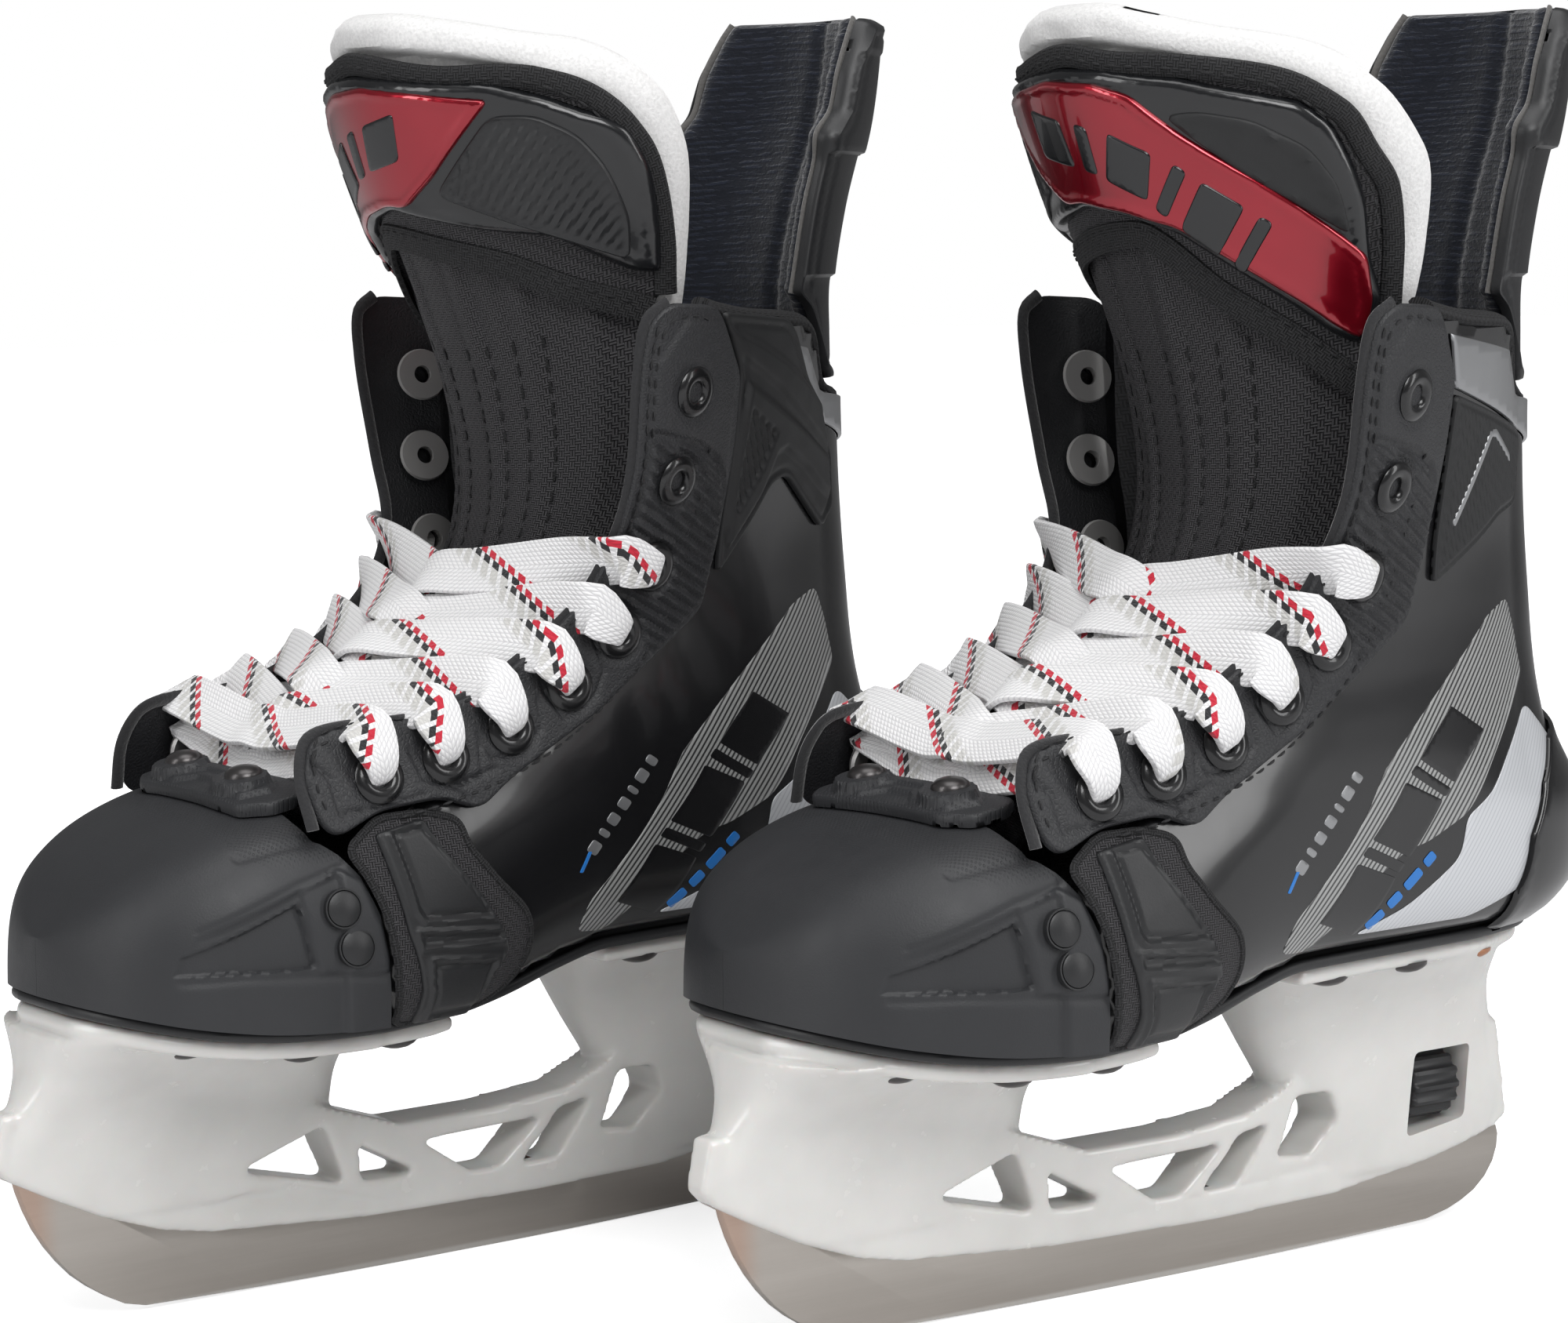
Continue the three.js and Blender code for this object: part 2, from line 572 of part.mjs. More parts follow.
// ---------------------------------------------------------------- tongue
function tongueFrame(u) {
  const last = TONGUE_LINE.length - 1;
  const table = (values) => values.map((value, i) => [i / last, value]);
  const xs = table(TONGUE_LINE.map((p) => p[0]));
  const zs = table(TONGUE_LINE.map((p) => p[1]));
  const e = 0.01;
  const dx = interpolate(xs, Math.min(u + e, 1)) - interpolate(xs, Math.max(u - e, 0));
  const dz = interpolate(zs, Math.min(u + e, 1)) - interpolate(zs, Math.max(u - e, 0));
  const length = Math.hypot(dx, dz);
  return {
    x: interpolate(xs, u),
    z: interpolate(zs, u),
    nx: dz / length,
    nz: -dx / length,
    half: interpolate(table(TONGUE_HALF), u),
    sag: interpolate(table(TONGUE_SAG), u),
  };
}

// A point on the tongue: u along the centre line, v across from -1 to 1, lift along the face's normal.
function tonguePoint(u, v, lift, widen = 0) {
  const f = tongueFrame(u);
  const across = ((f.half + widen) * v) / f.half;
  const slope = (2 * f.sag * across) / f.half;
  const length = Math.hypot(1, slope);
  const out = -f.sag * across * across + lift / length;
  return new THREE.Vector3(f.x + f.nx * out, f.half * across + (lift * slope) / length, f.z + f.nz * out);
}

function tongueSheet(u0, u1, low, high, widen, uSteps, vSteps) {
  const face = (lift) => (u, v) => tonguePoint(u0 + (u1 - u0) * u, 2 * v - 1, lift, widen);
  return sheet(face(high), face(low), uSteps, vSteps);
}

const tongueLower = () => tongueSheet(0, TONGUE_SPLIT, -5, 0, 0, 7, 6);
const tongueUpper = () => tongueSheet(TONGUE_SPLIT + TONGUE_GAP, 0.93, -2.4, 0, -5, 4, 6);
const tongueFelt = () => tongueSheet(TONGUE_SPLIT + TONGUE_GAP, 1, -8.6, -3.4, 0, 5, 6);
const tongueBadge = () => tongueSheet(0.75, 0.9, 0.8, 2.6, -10, 2, 6);

// ---------------------------------------------------------------- lace
// A flat band through points with given normals.
function ribbon(path) {
  const rings = path.map(({ point, normal }, i) => {
    const next = path[Math.min(i + 1, path.length - 1)].point;
    const before = path[Math.max(i - 1, 0)].point;
    const along = new THREE.Vector3().subVectors(next, before).normalize();
    const across = new THREE.Vector3().crossVectors(along, normal).normalize();
    const up = new THREE.Vector3().crossVectors(across, along).normalize();
    const corner = (a, b) => point.clone().addScaledVector(across, (a * LACE.width) / 2)
      .addScaledVector(up, (b * LACE.thickness) / 2);
    return [corner(-1, -1), corner(1, -1), corner(1, 1), corner(-1, 1)];
  });
  return loft(rings);
}

// Criss-crossed bands from each eyelet, over the facing's edge and the tongue, to the next one opposite.
function lace() {
  const slack = 1.6;
  const lift = FACING[1] + GAP + EYELET.rim + GAP + LACE.thickness / 2 + slack;
  const overEdge = 16;
  const crown = LACE.thickness / 2 + slack;
  const anchor = (i, side, reach) => {
    const [x, z] = EYELETS[i];
    const [nx, nz] = acrossEyelets(i);
    return surfacePoint([x + nx * reach, z + nz * reach], side, lift);
  };
  const crossing = (share) => {
    const frame = tongueFrame(share);
    return { point: tonguePoint(share, 0, crown), normal: new THREE.Vector3(frame.nx, 0, frame.nz) };
  };
  const bands = [ribbon([anchor(0, 1, 0), anchor(0, 1, overEdge), crossing(LACE_CROSSINGS[0]),
    anchor(0, -1, overEdge), anchor(0, -1, 0)])];
  for (let i = 0; i + 1 < LACED_EYELETS; i += 1) {
    const top = crossing(LACE_CROSSINGS[i + 1]);
    for (const side of [1, -1]) {
      const end = anchor(i + 1, -side, 0);
      bands.push(ribbon([anchor(i, side, overEdge), top, anchor(i + 1, -side, overEdge), end]));
    }
  }
  return union(bands).decompose().find((part) => part.volume() > 0);
}

// ---------------------------------------------------------------- blade holder
function tower(levels) {
  return loft(levels.map(([z, x0, x1, half]) => superellipse((x0 + x1) / 2, (x1 - x0) / 2, half, 0.62, 0.8, 14)
    .map(([x, y]) => new THREE.Vector3(x, y, z))));
}

function flange({ from, to, inset }) {
  const top = -OUTSOLE_THICKNESS - GAP;
  return solePlate(top - FLANGE_THICKNESS, top, solePlan(inset, from, to));
}

const underSole = sidePrism([...soleLine(-130, 120, -OUTSOLE_THICKNESS - GAP - 1), [120, -10], [-130, -10]],
  -REACH, REACH);

function bladeHolder(rivetHoles) {
  const side = sidePrism([...HOLDER_EDGE, ...RAIL_TOP], -RAIL_HALF, RAIL_HALF);
  const rail = side.intersect(planPrism(RAIL_PLAN, 0, 60));
  let body = union([rail, tower(FRONT_TOWER).intersect(underSole), tower(REAR_TOWER).intersect(underSole)]);
  for (const hole of TRUSS_HOLES) body = body.subtract(sidePrism(hole, -20, 20));
  body = body.add(flange(FRONT_FLANGE)).add(flange(REAR_FLANGE));
  body = body.subtract(sidePrism(runnerOutline(STEEL_ROOM), -STEEL_HALF - STEEL_GAP, STEEL_HALF + STEEL_GAP));
  body = body.subtract(sidePrism(WHEEL_POCKET, -20, 20));
  body = body.subtract(sidePrism(SLIDER_ROOM, -SLIDER.half - 0.5, SLIDER.half + 0.5));
  body = body.subtract(sidePrism(ROD_ROOM, -ROD_RADIUS - 0.7, ROD_RADIUS + 0.7));
  return body.subtract(rivetHoles);
}

// ---------------------------------------------------------------- runner and its lock
// Side view of the steel; a clearance grows everything but the glide edge.
function runnerOutline(clearance) {
  const c = clearance;
  const glide = [];
  const rocker = (x) => (x * x - GLIDE_FLAT * GLIDE_FLAT) / (2 * ROCKER_RADIUS);
  for (const x of [-84, -66, -48, -30, -GLIDE_FLAT, GLIDE_FLAT, 30, 48, 66, 78]) {
    glide.push([x, Math.max(rocker(x), 0) - (c ? 12 : 0)]);
  }
  const front = c ? [[112, -12], [112, 30]] : [[87, 4.6], [94.5, 9.6], [100.5, 16], [105, 23.5], [107.6, 31]];
  const heel = [[-105.5, 18.5], [-104.6, 13], [-101.5, 8.2], [-96, 4.6], [-90.5, 2.6]];
  const rear = c ? [[-110, 21], [-110, -12]] : heel;
  const frontLug = [[107.2 + c, 33 + c], [105.5 + c, 38.5 + c], [102, 40 + c], [98, 39 + c], [95 - c, 34 + c],
    [91 - c, 26 + c], [84 - c, 20.4 + c]];
  const top = [[72, RUNNER_TOP_Z - 1 + c], [40, 17 + c], [-40, 17 + c], [-57, RUNNER_TOP_Z + c]];
  const lug = [[REAR_LUG.to + c, RUNNER_TOP_Z + c], [REAR_LUG.to + c, REAR_LUG.top + c],
    [REAR_LUG.from - c, REAR_LUG.top + c], [REAR_LUG.from - c, RUNNER_TOP_Z + c]];
  const tail = [[-84, 20 + c], [-97, 20.6 + c], [-105.3, 20.4 + (c ? c : 0)]];
  return [...glide, ...front, ...frontLug, ...top, ...lug, ...tail, ...rear];
}

const runner = () => sidePrism(runnerOutline(0), -STEEL_HALF, STEEL_HALF);

// Ribbed thumb wheel on a fore-and-aft axis.
function lockWheel() {
  const points = [];
  for (let i = 0; i < WHEEL.ribs * 2; i += 1) {
    const a = (2 * Math.PI * i) / (WHEEL.ribs * 2);
    const r = i % 2 ? WHEEL.radius : WHEEL.root;
    points.push(new THREE.Vector2(r * Math.cos(a), r * Math.sin(a)));
  }
  const shape = new THREE.Shape(points);
  shape.holes.push(new THREE.Path().absarc(0, 0, WHEEL.bore, 0, 2 * Math.PI, true));
  const options = { depth: WHEEL.length, bevelEnabled: false, curveSegments: 6 };
  const geometry = new THREE.ExtrudeGeometry(shape, options);
  geometry.rotateY(Math.PI / 2);
  geometry.translate(WHEEL.x - WHEEL.length / 2, 0, WHEEL.z);
  return solid(geometry);
}

// The threaded rod through the wheel and the block that bears on the runner's rear lug.
function lockSlider() {
  const rod = pin(new THREE.Vector3(WHEEL.x - WHEEL.length / 2 - 1, 0, WHEEL.z),
    new THREE.Vector3(SLIDER.rear + 1, 0, WHEEL.z), ROD_RADIUS, 10);
  const front = REAR_LUG.from - SLIDER.gap;
  const { rear, low, high } = SLIDER;
  const face = [[rear, low], [front, low], [front, high], [rear, high]];
  const block = sidePrism(face, -SLIDER.half, SLIDER.half);
  return rod.add(block);
}

// ---------------------------------------------------------------- rivets
const UPWARD = new THREE.Vector3(0, 1e-9, 1); // a hair off vertical, which fixes the hexagons' turn

const mirroredPlaces = (places) => places.flatMap(([x, y]) => [[x, y], [x, -y]]);

const flangeUnderZ = (x) => soleZ(x) - OUTSOLE_THICKNESS - FLANGE_THICKNESS - GAP;

// Shank holes, and the pockets under the flange that clear the heads.
function rivetHolesFor(places) {
  return union(mirroredPlaces(places).flatMap(([x, y]) => {
    const seat = new THREE.Vector3(x, y, flangeUnderZ(x));
    return [pin(seat, seat.clone().setZ(soleZ(x) + 3), RIVET.shank + GAP, RIVET.sides),
      pin(seat.clone().setZ(seat.z - 16), seat, RIVET.head + 4 * GAP, 6)];
  }));
}

// Dome rivets under a flange, clinched on a thin plate inside the boot.
function rivets(places) {
  const all = mirroredPlaces(places);
  const xs = all.map(([x]) => x);
  const ys = all.map(([, y]) => Math.abs(y));
  const reachX = 3.5;
  const reachY = 2.6;
  const from = Math.min(...xs) - reachX;
  const to = Math.max(...xs) + reachX;
  const half = Math.max(...ys) + reachY;
  const plan = [[from, -half], [to, -half * 0.86], [to, half * 0.86], [from, half]];
  let body = solePlate(GAP, GAP + RIVET.plate, plan);
  for (const [x, y] of all) {
    const under = flangeUnderZ(x) - 0.4;
    const top = soleZ(x) + GAP + RIVET.plate * 0.5 - under;
    const profile = [[0, -RIVET.headHeight], [RIVET.head * 0.6, -RIVET.headHeight], [RIVET.head, 0],
      [RIVET.shank, 0], [RIVET.shank, top], [0, top]];
    body = body.add(turned(profile, RIVET.sides, new THREE.Vector3(x, y, under), UPWARD));
  }
  return body;
}

// ---------------------------------------------------------------- assembly
const LOOK = {
  white_plastic: { color: 0xe9ebe6, roughness: 0.3 },
  steel: { color: 0x9b948c, roughness: 0.35, metalness: 1 },
  black_plastic: { color: 0x16161a, roughness: 0.45 },
  toe_plastic: { color: 0x2a2a2e, roughness: 0.65 },
  gloss_black: { color: 0x0b0b0d, roughness: 0.15 },
  soft_black: { color: 0x17171b, roughness: 0.85 },
  facing_black: { color: 0x1d1d20, roughness: 0.6 },
  silver: { color: 0xa9adb2, roughness: 0.35, metalness: 0.4 },
  red: { color: 0xa5121f, roughness: 0.25, metalness: 0.5 },
  felt_white: { color: 0xf1f0ee, roughness: 0.95 },
  felt_navy: { color: 0x151b2c, roughness: 0.95 },
  lace_white: { color: 0xf6f5f3, roughness: 0.9 },
  rivet_black: { color: 0x3a3534, roughness: 0.4, metalness: 0.8 },
  copper: { color: 0xb66b4b, roughness: 0.35, metalness: 1 },
};

const frontHoles = rivetHolesFor(FRONT_RIVETS);
const rearHoles = rivetHolesFor(REAR_RIVETS);
const copperHoles = rivetHolesFor(COPPER_RIVETS);
const allHoles = union([frontHoles, rearHoles, copperHoles]);

const PIECES = [
  ["blade_holder", "white_plastic", bladeHolder(allHoles)],
  ["runner", "steel", runner()],
  ["lock_wheel", "black_plastic", lockWheel()],
  ["lock_slider", "steel", lockSlider()],
  ["front_rivets", "rivet_black", rivets(FRONT_RIVETS)],
  ["rear_rivets", "rivet_black", rivets(REAR_RIVETS)],
  ["copper_rivets", "copper", rivets(COPPER_RIVETS)],
  ["outsole", "black_plastic", outsole(allHoles)],
  ["boot_shell", "gloss_black", bootShell()],
  ["liner", "soft_black", liner()],
  ["footbed", "soft_black", footbed()],
  ["toe_cap", "toe_plastic", toeCap()],
  ["toe_bridge", "black_plastic", toeBridge()],
  ["heel_cup", "gloss_black", heelCup()],
  ["rear_band", "silver", rearBand()],
  ["tendon_guard", "black_plastic", guardLayer(-2.4, 0, 0)],
  ["guard_felt", "felt_navy", guardLayer(-6.2, -2.7, 0.6)],
  ["tongue_lower", "soft_black", tongueLower()],
  ["tongue_upper", "soft_black", tongueUpper()],
  ["tongue_felt", "felt_white", tongueFelt()],
  ["tongue_badge", "red", tongueBadge()],
  ["lace", "lace_white", lace()],
];

// Pieces with a twin on the boot's inner side.
const SIDE_PIECES = [
  ["facing", "facing_black", facing()],
  ["eyelets", "rivet_black", eyeletRow()],
  ["forefoot_wrap", "gloss_black", forefootWrap()],
  ["ankle_pad", "facing_black", anklePad()],
];
for (const [name, look, body] of SIDE_PIECES) {
  PIECES.push([name + "_outer", look, body], [name + "_inner", look, mirrored(body)]);
}

function skate(prefix) {
  const group = new THREE.Group();
  for (const [name, look, body] of PIECES) {
    const mesh = new THREE.Mesh(geometryOf(body), new THREE.MeshStandardMaterial(LOOK[look]));
    mesh.name = prefix + name;
    group.add(mesh);
  }
  return group;
}

const pair = new THREE.Group();
pair.add(skate("left_"));
const rightSkate = skate("right_");
rightSkate.scale.y = -1;
rightSkate.position.set(RIGHT_SKATE.x, RIGHT_SKATE.y, 0);
rightSkate.rotation.z = radians(RIGHT_SKATE.turn);
pair.add(rightSkate);

export default pair;
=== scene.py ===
"""A pair of junior ice hockey skates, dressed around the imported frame.

Lengths are millimetres in the left skate's own frame (+X to the toes, +Y outwards, +Z up, z = 0 on the ice)
until place() sets every piece down twice, in metres: as it is for the left skate, mirrored for the right one.
"""
import json
import math
from collections import namedtuple

import bmesh
import bpy
import numpy as np
from mathutils import Matrix, Vector
from mathutils.geometry import delaunay_2d_cdt


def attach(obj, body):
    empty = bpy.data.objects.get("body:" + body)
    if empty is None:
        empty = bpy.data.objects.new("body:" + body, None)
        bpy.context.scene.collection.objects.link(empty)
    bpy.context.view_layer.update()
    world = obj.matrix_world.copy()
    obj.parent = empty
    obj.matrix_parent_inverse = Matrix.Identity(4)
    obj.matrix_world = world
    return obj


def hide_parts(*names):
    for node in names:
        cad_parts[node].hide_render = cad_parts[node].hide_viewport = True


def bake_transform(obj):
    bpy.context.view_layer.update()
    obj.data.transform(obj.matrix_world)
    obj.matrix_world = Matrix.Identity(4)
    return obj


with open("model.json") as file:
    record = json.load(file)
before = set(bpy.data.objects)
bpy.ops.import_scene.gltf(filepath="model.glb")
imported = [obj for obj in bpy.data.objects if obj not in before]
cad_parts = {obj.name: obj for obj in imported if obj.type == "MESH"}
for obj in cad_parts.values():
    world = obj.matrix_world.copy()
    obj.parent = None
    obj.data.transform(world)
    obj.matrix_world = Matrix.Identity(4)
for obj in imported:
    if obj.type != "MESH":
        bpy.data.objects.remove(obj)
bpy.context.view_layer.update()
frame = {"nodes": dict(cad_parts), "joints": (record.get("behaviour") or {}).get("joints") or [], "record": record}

# ---------------------------------------------------------------- sizes
MM = 0.001
SOLE = np.array([[-132, 71.5], [-20, 71.4], [-5, 69], [10, 65.6], [26, 63.2], [45, 62.5], [66, 63.4],
                 [85, 66], [122, 74.4]])
HEEL_SOLE_Z = 71.5
STATION_X = np.array([-85, -50, -15, 25, 58])
HEEL_END_X, HEEL_POWER, BOOT_FRONT_X = -60, 2.4, 61
# Boot form by height over the sole: height, the heel's x, and the half-widths at the five stations.
LINES = np.array([
    [0, -105, 25, 28, 31, 38, 40], [4, -111, 29, 32, 35, 42, 43.5], [10, -116, 32, 35, 38, 44.5, 45.5],
    [20, -118, 33, 36.5, 40, 45, 45], [30, -115, 33, 37, 41, 43.5, 42], [40, -109, 31.5, 37, 41, 40.5, 37.5],
    [50, -105.8, 30, 36.5, 40.5, 37.5, 33], [60, -104, 29, 36, 40, 34.5, 28], [72, -103, 28, 36, 40.5, 32, 25],
    [86, -102, 27, 37, 43, 32, 25], [100, -101, 27, 39.5, 48.5, 36, 28], [118, -100, 28, 43, 52.5, 40, 30],
    [142, -101, 30, 46.5, 56.5, 44, 34]])
GUARD_REAR = np.array([[180, -97.5], [200, -96.8], [211, -96.8], [228, -100.8], [248, -107.6], [274, -112]])
GUARD_HALF = np.array([[180, 29], [205, 29], [228, 29.5], [250, 30.5], [272, 30.5]])
GUARD_END_X, GUARD_POWER, GUARD_SPREAD = -72, 2.3, 46
# Tongue by even steps along it: centre line x and z, half-width, and drop of the edges behind the middle.
TONGUE = np.array([
    [55, 105, 20, 7], [43, 117.5, 24, 10], [28, 128, 27, 14], [13, 137, 29.5, 16], [1, 146.5, 31.5, 18],
    [-6, 158.5, 33.5, 22], [-7.5, 173, 36.5, 27], [-4, 190, 39.5, 32], [2.5, 207.5, 44, 37],
    [9, 224, 50.5, 40], [15, 240, 53, 40], [20, 256, 51.5, 38], [22.5, 268, 45, 31]])
TONGUE_U = np.linspace(0, 1, len(TONGUE))
TONGUE_LENGTH, TONGUE_SPREAD = 200, 50
TOE = {"rear": 40, "nose": 103, "half": 45.5, "lean": -4, "base": 55, "wall": 2.8}
TOE_CROWN = np.array([[40, 109], [58, 107.5], [72, 104], [84, 99], [95, 92], [103, 82]])
TOE_CAP_REAR = np.array([[62, 45], [70, 44.8], [77, 45], [86, 46.8], [94, 50.4], [98.3, 54], [101.8, 58.5],
                         [104.5, 59.5], [112, 59.5]])  # z, x
EYELETS = np.array([[43.4, 112.4], [27.8, 115.4], [11.8, 120.3], [-2.9, 128.4], [-15.1, 139], [-22.5, 153],
                    [-24.5, 171.5], [-26.5, 190]])
LACED = 6

JOINTS = {joint["name"]: joint for joint in frame["joints"]}
MOUNTS = {mount["name"]: mount for mount in frame["record"]["mounts"]}


def skate_matrices():
    """From the left skate's millimetres to metres of the row; the right skate is mirrored and turned."""
    axis = JOINTS["right_tongue_flex"]["axis"]
    turn = Matrix.Rotation(math.atan2(-axis[0], axis[1]), 4, "Z")
    move = Matrix.Translation(MOUNTS["right_glide_face"]["pos_m"])
    return {"left": Matrix.Diagonal((MM, MM, MM, 1)), "right": move @ turn @ Matrix.Diagonal((MM, -MM, MM, 1))}


SKATES = skate_matrices()
# ---------------------------------------------------------------- forms
def hermite(xs, ys, x):
    """A smooth curve through a table. ys may hold its own row of values for every x."""
    xs, ys = np.asarray(xs, float), np.asarray(ys, float)
    x = np.clip(np.asarray(x, float), xs[0], xs[-1])
    if ys.ndim == 1:
        ys = np.broadcast_to(ys, x.shape + ys.shape)
    order = np.arange(len(xs))
    high, low = np.minimum(order + 1, len(xs) - 1), np.maximum(order - 1, 0)
    slopes = (ys[..., high] - ys[..., low]) / (xs[high] - xs[low])
    i = np.clip(np.searchsorted(xs, x, side="right") - 1, 0, len(xs) - 2)
    step = xs[i + 1] - xs[i]
    t = (x - xs[i]) / step
    y0, y1, m0, m1 = (np.take_along_axis(table, k[..., None], -1)[..., 0]
                      for table, k in ((ys, i), (ys, i + 1), (slopes, i), (slopes, i + 1)))
    rise = y0 * (1 + 2 * t) * (1 - t) ** 2 + y1 * t * t * (3 - 2 * t)
    return rise + step * (m0 * t * (1 - t) ** 2 - m1 * t * t * (1 - t))


def smoothstep(low, high, value):
    t = np.clip((np.asarray(value, float) - low) / (high - low), 0, 1)
    return t * t * (3 - 2 * t)


def sole_z(x):
    return hermite(SOLE[:, 0], SOLE[:, 1], x)


def heel_x(z):
    return hermite(LINES[:, 0], LINES[:, 1], np.asarray(z, float) - HEEL_SOLE_Z)


def half_width(x, z):
    """Half-width of the shell's outer face at a side-view point."""
    x, z = np.broadcast_arrays(np.asarray(x, float), np.asarray(z, float))
    sole = sole_z(x)
    height = z - (sole + (HEEL_SOLE_Z - sole) * smoothstep(75, 125, z))
    widths = np.stack([hermite(LINES[:, 0], LINES[:, 2 + k], height) for k in range(5)], -1)
    full = hermite(STATION_X, widths, x)
    share = np.clip((HEEL_END_X - x) / (HEEL_END_X - heel_x(z)), 0, 1)
    return full * (1 - share ** HEEL_POWER) ** (1 / HEEL_POWER)


def arc_table():
    """Share of the boot's length against the way round from the heel, half way up."""
    share = np.linspace(0, 1, 1500) ** HEEL_POWER
    z = np.full_like(share, 112.0)
    x = heel_x(z) + (BOOT_FRONT_X - heel_x(z)) * share
    steps = np.hypot(np.diff(x), np.diff(half_width(x, z)))
    return share, np.concatenate([[0], np.cumsum(steps)])


def boot(a, z):
    """A point of the boot: a is the way round from the heel, positive on the outer side."""
    a, z = np.broadcast_arrays(np.asarray(a, float), np.asarray(z, float))
    heel = heel_x(z)
    x = heel + (BOOT_FRONT_X - heel) * np.interp(np.abs(a), ARC, ARC_SHARE)
    return np.stack([x, np.sign(a) * half_width(x, z), z], -1)


def arc(x, z):
    """The way round from the heel to a side-view point."""
    heel = heel_x(z)
    return np.interp((np.asarray(x, float) - heel) / (BOOT_FRONT_X - heel), ARC_SHARE, ARC)


def guard(a, z):
    """A point of the tendon guard, a as for the boot."""
    a, z = np.broadcast_arrays(np.asarray(a, float), np.asarray(z, float))
    rear = hermite(GUARD_REAR[:, 0], GUARD_REAR[:, 1], z)
    side = hermite(GUARD_HALF[:, 0], GUARD_HALF[:, 1], z)
    x = rear + (GUARD_END_X - rear) * np.minimum(np.abs(a) / 46, 1.6) ** GUARD_POWER
    share = np.clip((GUARD_END_X - x) / (GUARD_END_X - rear), 0, 1)
    return np.stack([x, np.sign(a) * side * (1 - share ** GUARD_POWER) ** (1 / GUARD_POWER), z], -1)


def guard_arc(x, z):
    rear = hermite(GUARD_REAR[:, 0], GUARD_REAR[:, 1], z)
    return 46 * np.maximum((np.asarray(x, float) - rear) / (GUARD_END_X - rear), 0) ** (1 / GUARD_POWER)


def tongue(p, q):
    """A point of the tongue's face: q along the centre line, p across, both about in millimetres."""
    p, q = np.broadcast_arrays(np.asarray(p, float), np.asarray(q, float))
    u, across = q / TONGUE_LENGTH, p / TONGUE_SPREAD
    step = 0.01
    columns = [hermite(TONGUE_U, TONGUE[:, k], u) for k in range(4)]
    x, z, side, sag = columns
    ahead, behind = (np.stack([hermite(TONGUE_U, TONGUE[:, k], np.clip(u + s, 0, 1)) for k in (0, 1)])
                     for s in (step, -step))
    dx, dz = ahead - behind
    length = np.hypot(dx, dz)
    drop = sag * across ** 2
    return np.stack([x - dz / length * drop, side * across, z + dx / length * drop], -1)


def normals(form, p, q):
    """Outward unit normals. The tongue and the plan forms run the other way round from the boot."""
    e = 0.4
    across = np.cross(form(p, q + e) - form(p, q - e), form(p + e, q) - form(p - e, q))
    across *= 1 if form in (boot, guard) else -1
    return across / np.linalg.norm(across, axis=-1, keepdims=True)


def lifted(form, p, q, lift):
    """Points of a form moved out along its normal."""
    p, q = np.asarray(p, float), np.asarray(q, float)
    return form(p, q) + normals(form, p, q) * np.asarray(lift, float)[..., None]
ARC_SHARE, ARC = arc_table()

# ---------------------------------------------------------------- mesh tools
# verts: (N, 3) in millimetres. faces: lists of indices. surf: (N, 3) surface coordinates for the materials.
Shape = namedtuple("Shape", "verts faces surf")


def shape(verts, faces, surf=None):
    """One closed body, turned the right way out."""
    verts = np.asarray(verts, float).reshape(-1, 3)
    faces = [list(map(int, face)) for face in faces]
    corners = np.array([(face[0], face[i], face[i + 1]) for face in faces for i in range(1, len(face) - 1)])
    a, b, c = (verts[corners[:, k]] - verts.mean(0) for k in range(3))
    if (a * np.cross(b, c)).sum() < 0:
        faces = [face[::-1] for face in faces]
    return Shape(verts, faces, verts if surf is None else np.asarray(surf, float).reshape(-1, 3))


def join(shapes):
    verts, faces, surf, start = [], [], [], 0
    for part in shapes:
        verts.append(part.verts)
        surf.append(part.surf)
        faces += [[start + i for i in face] for face in part.faces]
        start += len(part.verts)
    return Shape(np.vstack(verts), faces, np.vstack(surf))


def mirror(part):
    """The same piece on the other side of the skate's middle plane."""
    return Shape(part.verts * (1, -1, 1), [face[::-1] for face in part.faces], part.surf)


def resample(outline, spacing):
    """Points along a closed outline, keeping its corners."""
    points = []
    for here, there in zip(outline, np.roll(outline, -1, 0)):
        count = max(1, round(float(np.linalg.norm(there - here)) / spacing))
        points += [here + (there - here) * k / count for k in range(count)]
    return np.array(points)


def rounded(outline, radius):
    """A closed outline with each corner replaced by a short curve."""
    outline = np.asarray(outline, float)
    points = []
    for before, here, after in zip(np.roll(outline, 1, 0), outline, np.roll(outline, -1, 0)):
        arms = [before - here, after - here]
        starts = [here + arm * min(0.5, radius / max(np.linalg.norm(arm), 1e-6)) for arm in arms]
        for t in (0, 0.25, 0.5, 0.75, 1):
            points.append(starts[0] * (1 - t) ** 2 + here * 2 * t * (1 - t) + starts[1] * t * t)
    return np.array(points)


def smooth_line(points, count, closed=False):
    """A smooth curve through points, by distance along them."""
    points = np.asarray(points, float)
    if closed:
        points = np.vstack([points, points[:1]])
    way = np.concatenate([[0], np.cumsum(np.linalg.norm(np.diff(points, axis=0), axis=1))])
    at = np.linspace(0, way[-1], count + (1 if closed else 0))
    line = np.stack([hermite(way, points[:, k], at) for k in range(points.shape[1])], -1)
    return line[:-1] if closed else line


def inside(points, outline):
    x, y = points[:, 0, None], points[:, 1, None]
    a, b = outline, np.roll(outline, -1, 0)
    rise = np.where(b[:, 1] == a[:, 1], 1e-12, b[:, 1] - a[:, 1])
    at = (b[:, 0] - a[:, 0]) * (y - a[:, 1]) / rise + a[:, 0]
    return (((a[:, 1] > y) != (b[:, 1] > y)) & (x < at)).sum(1) % 2 == 1


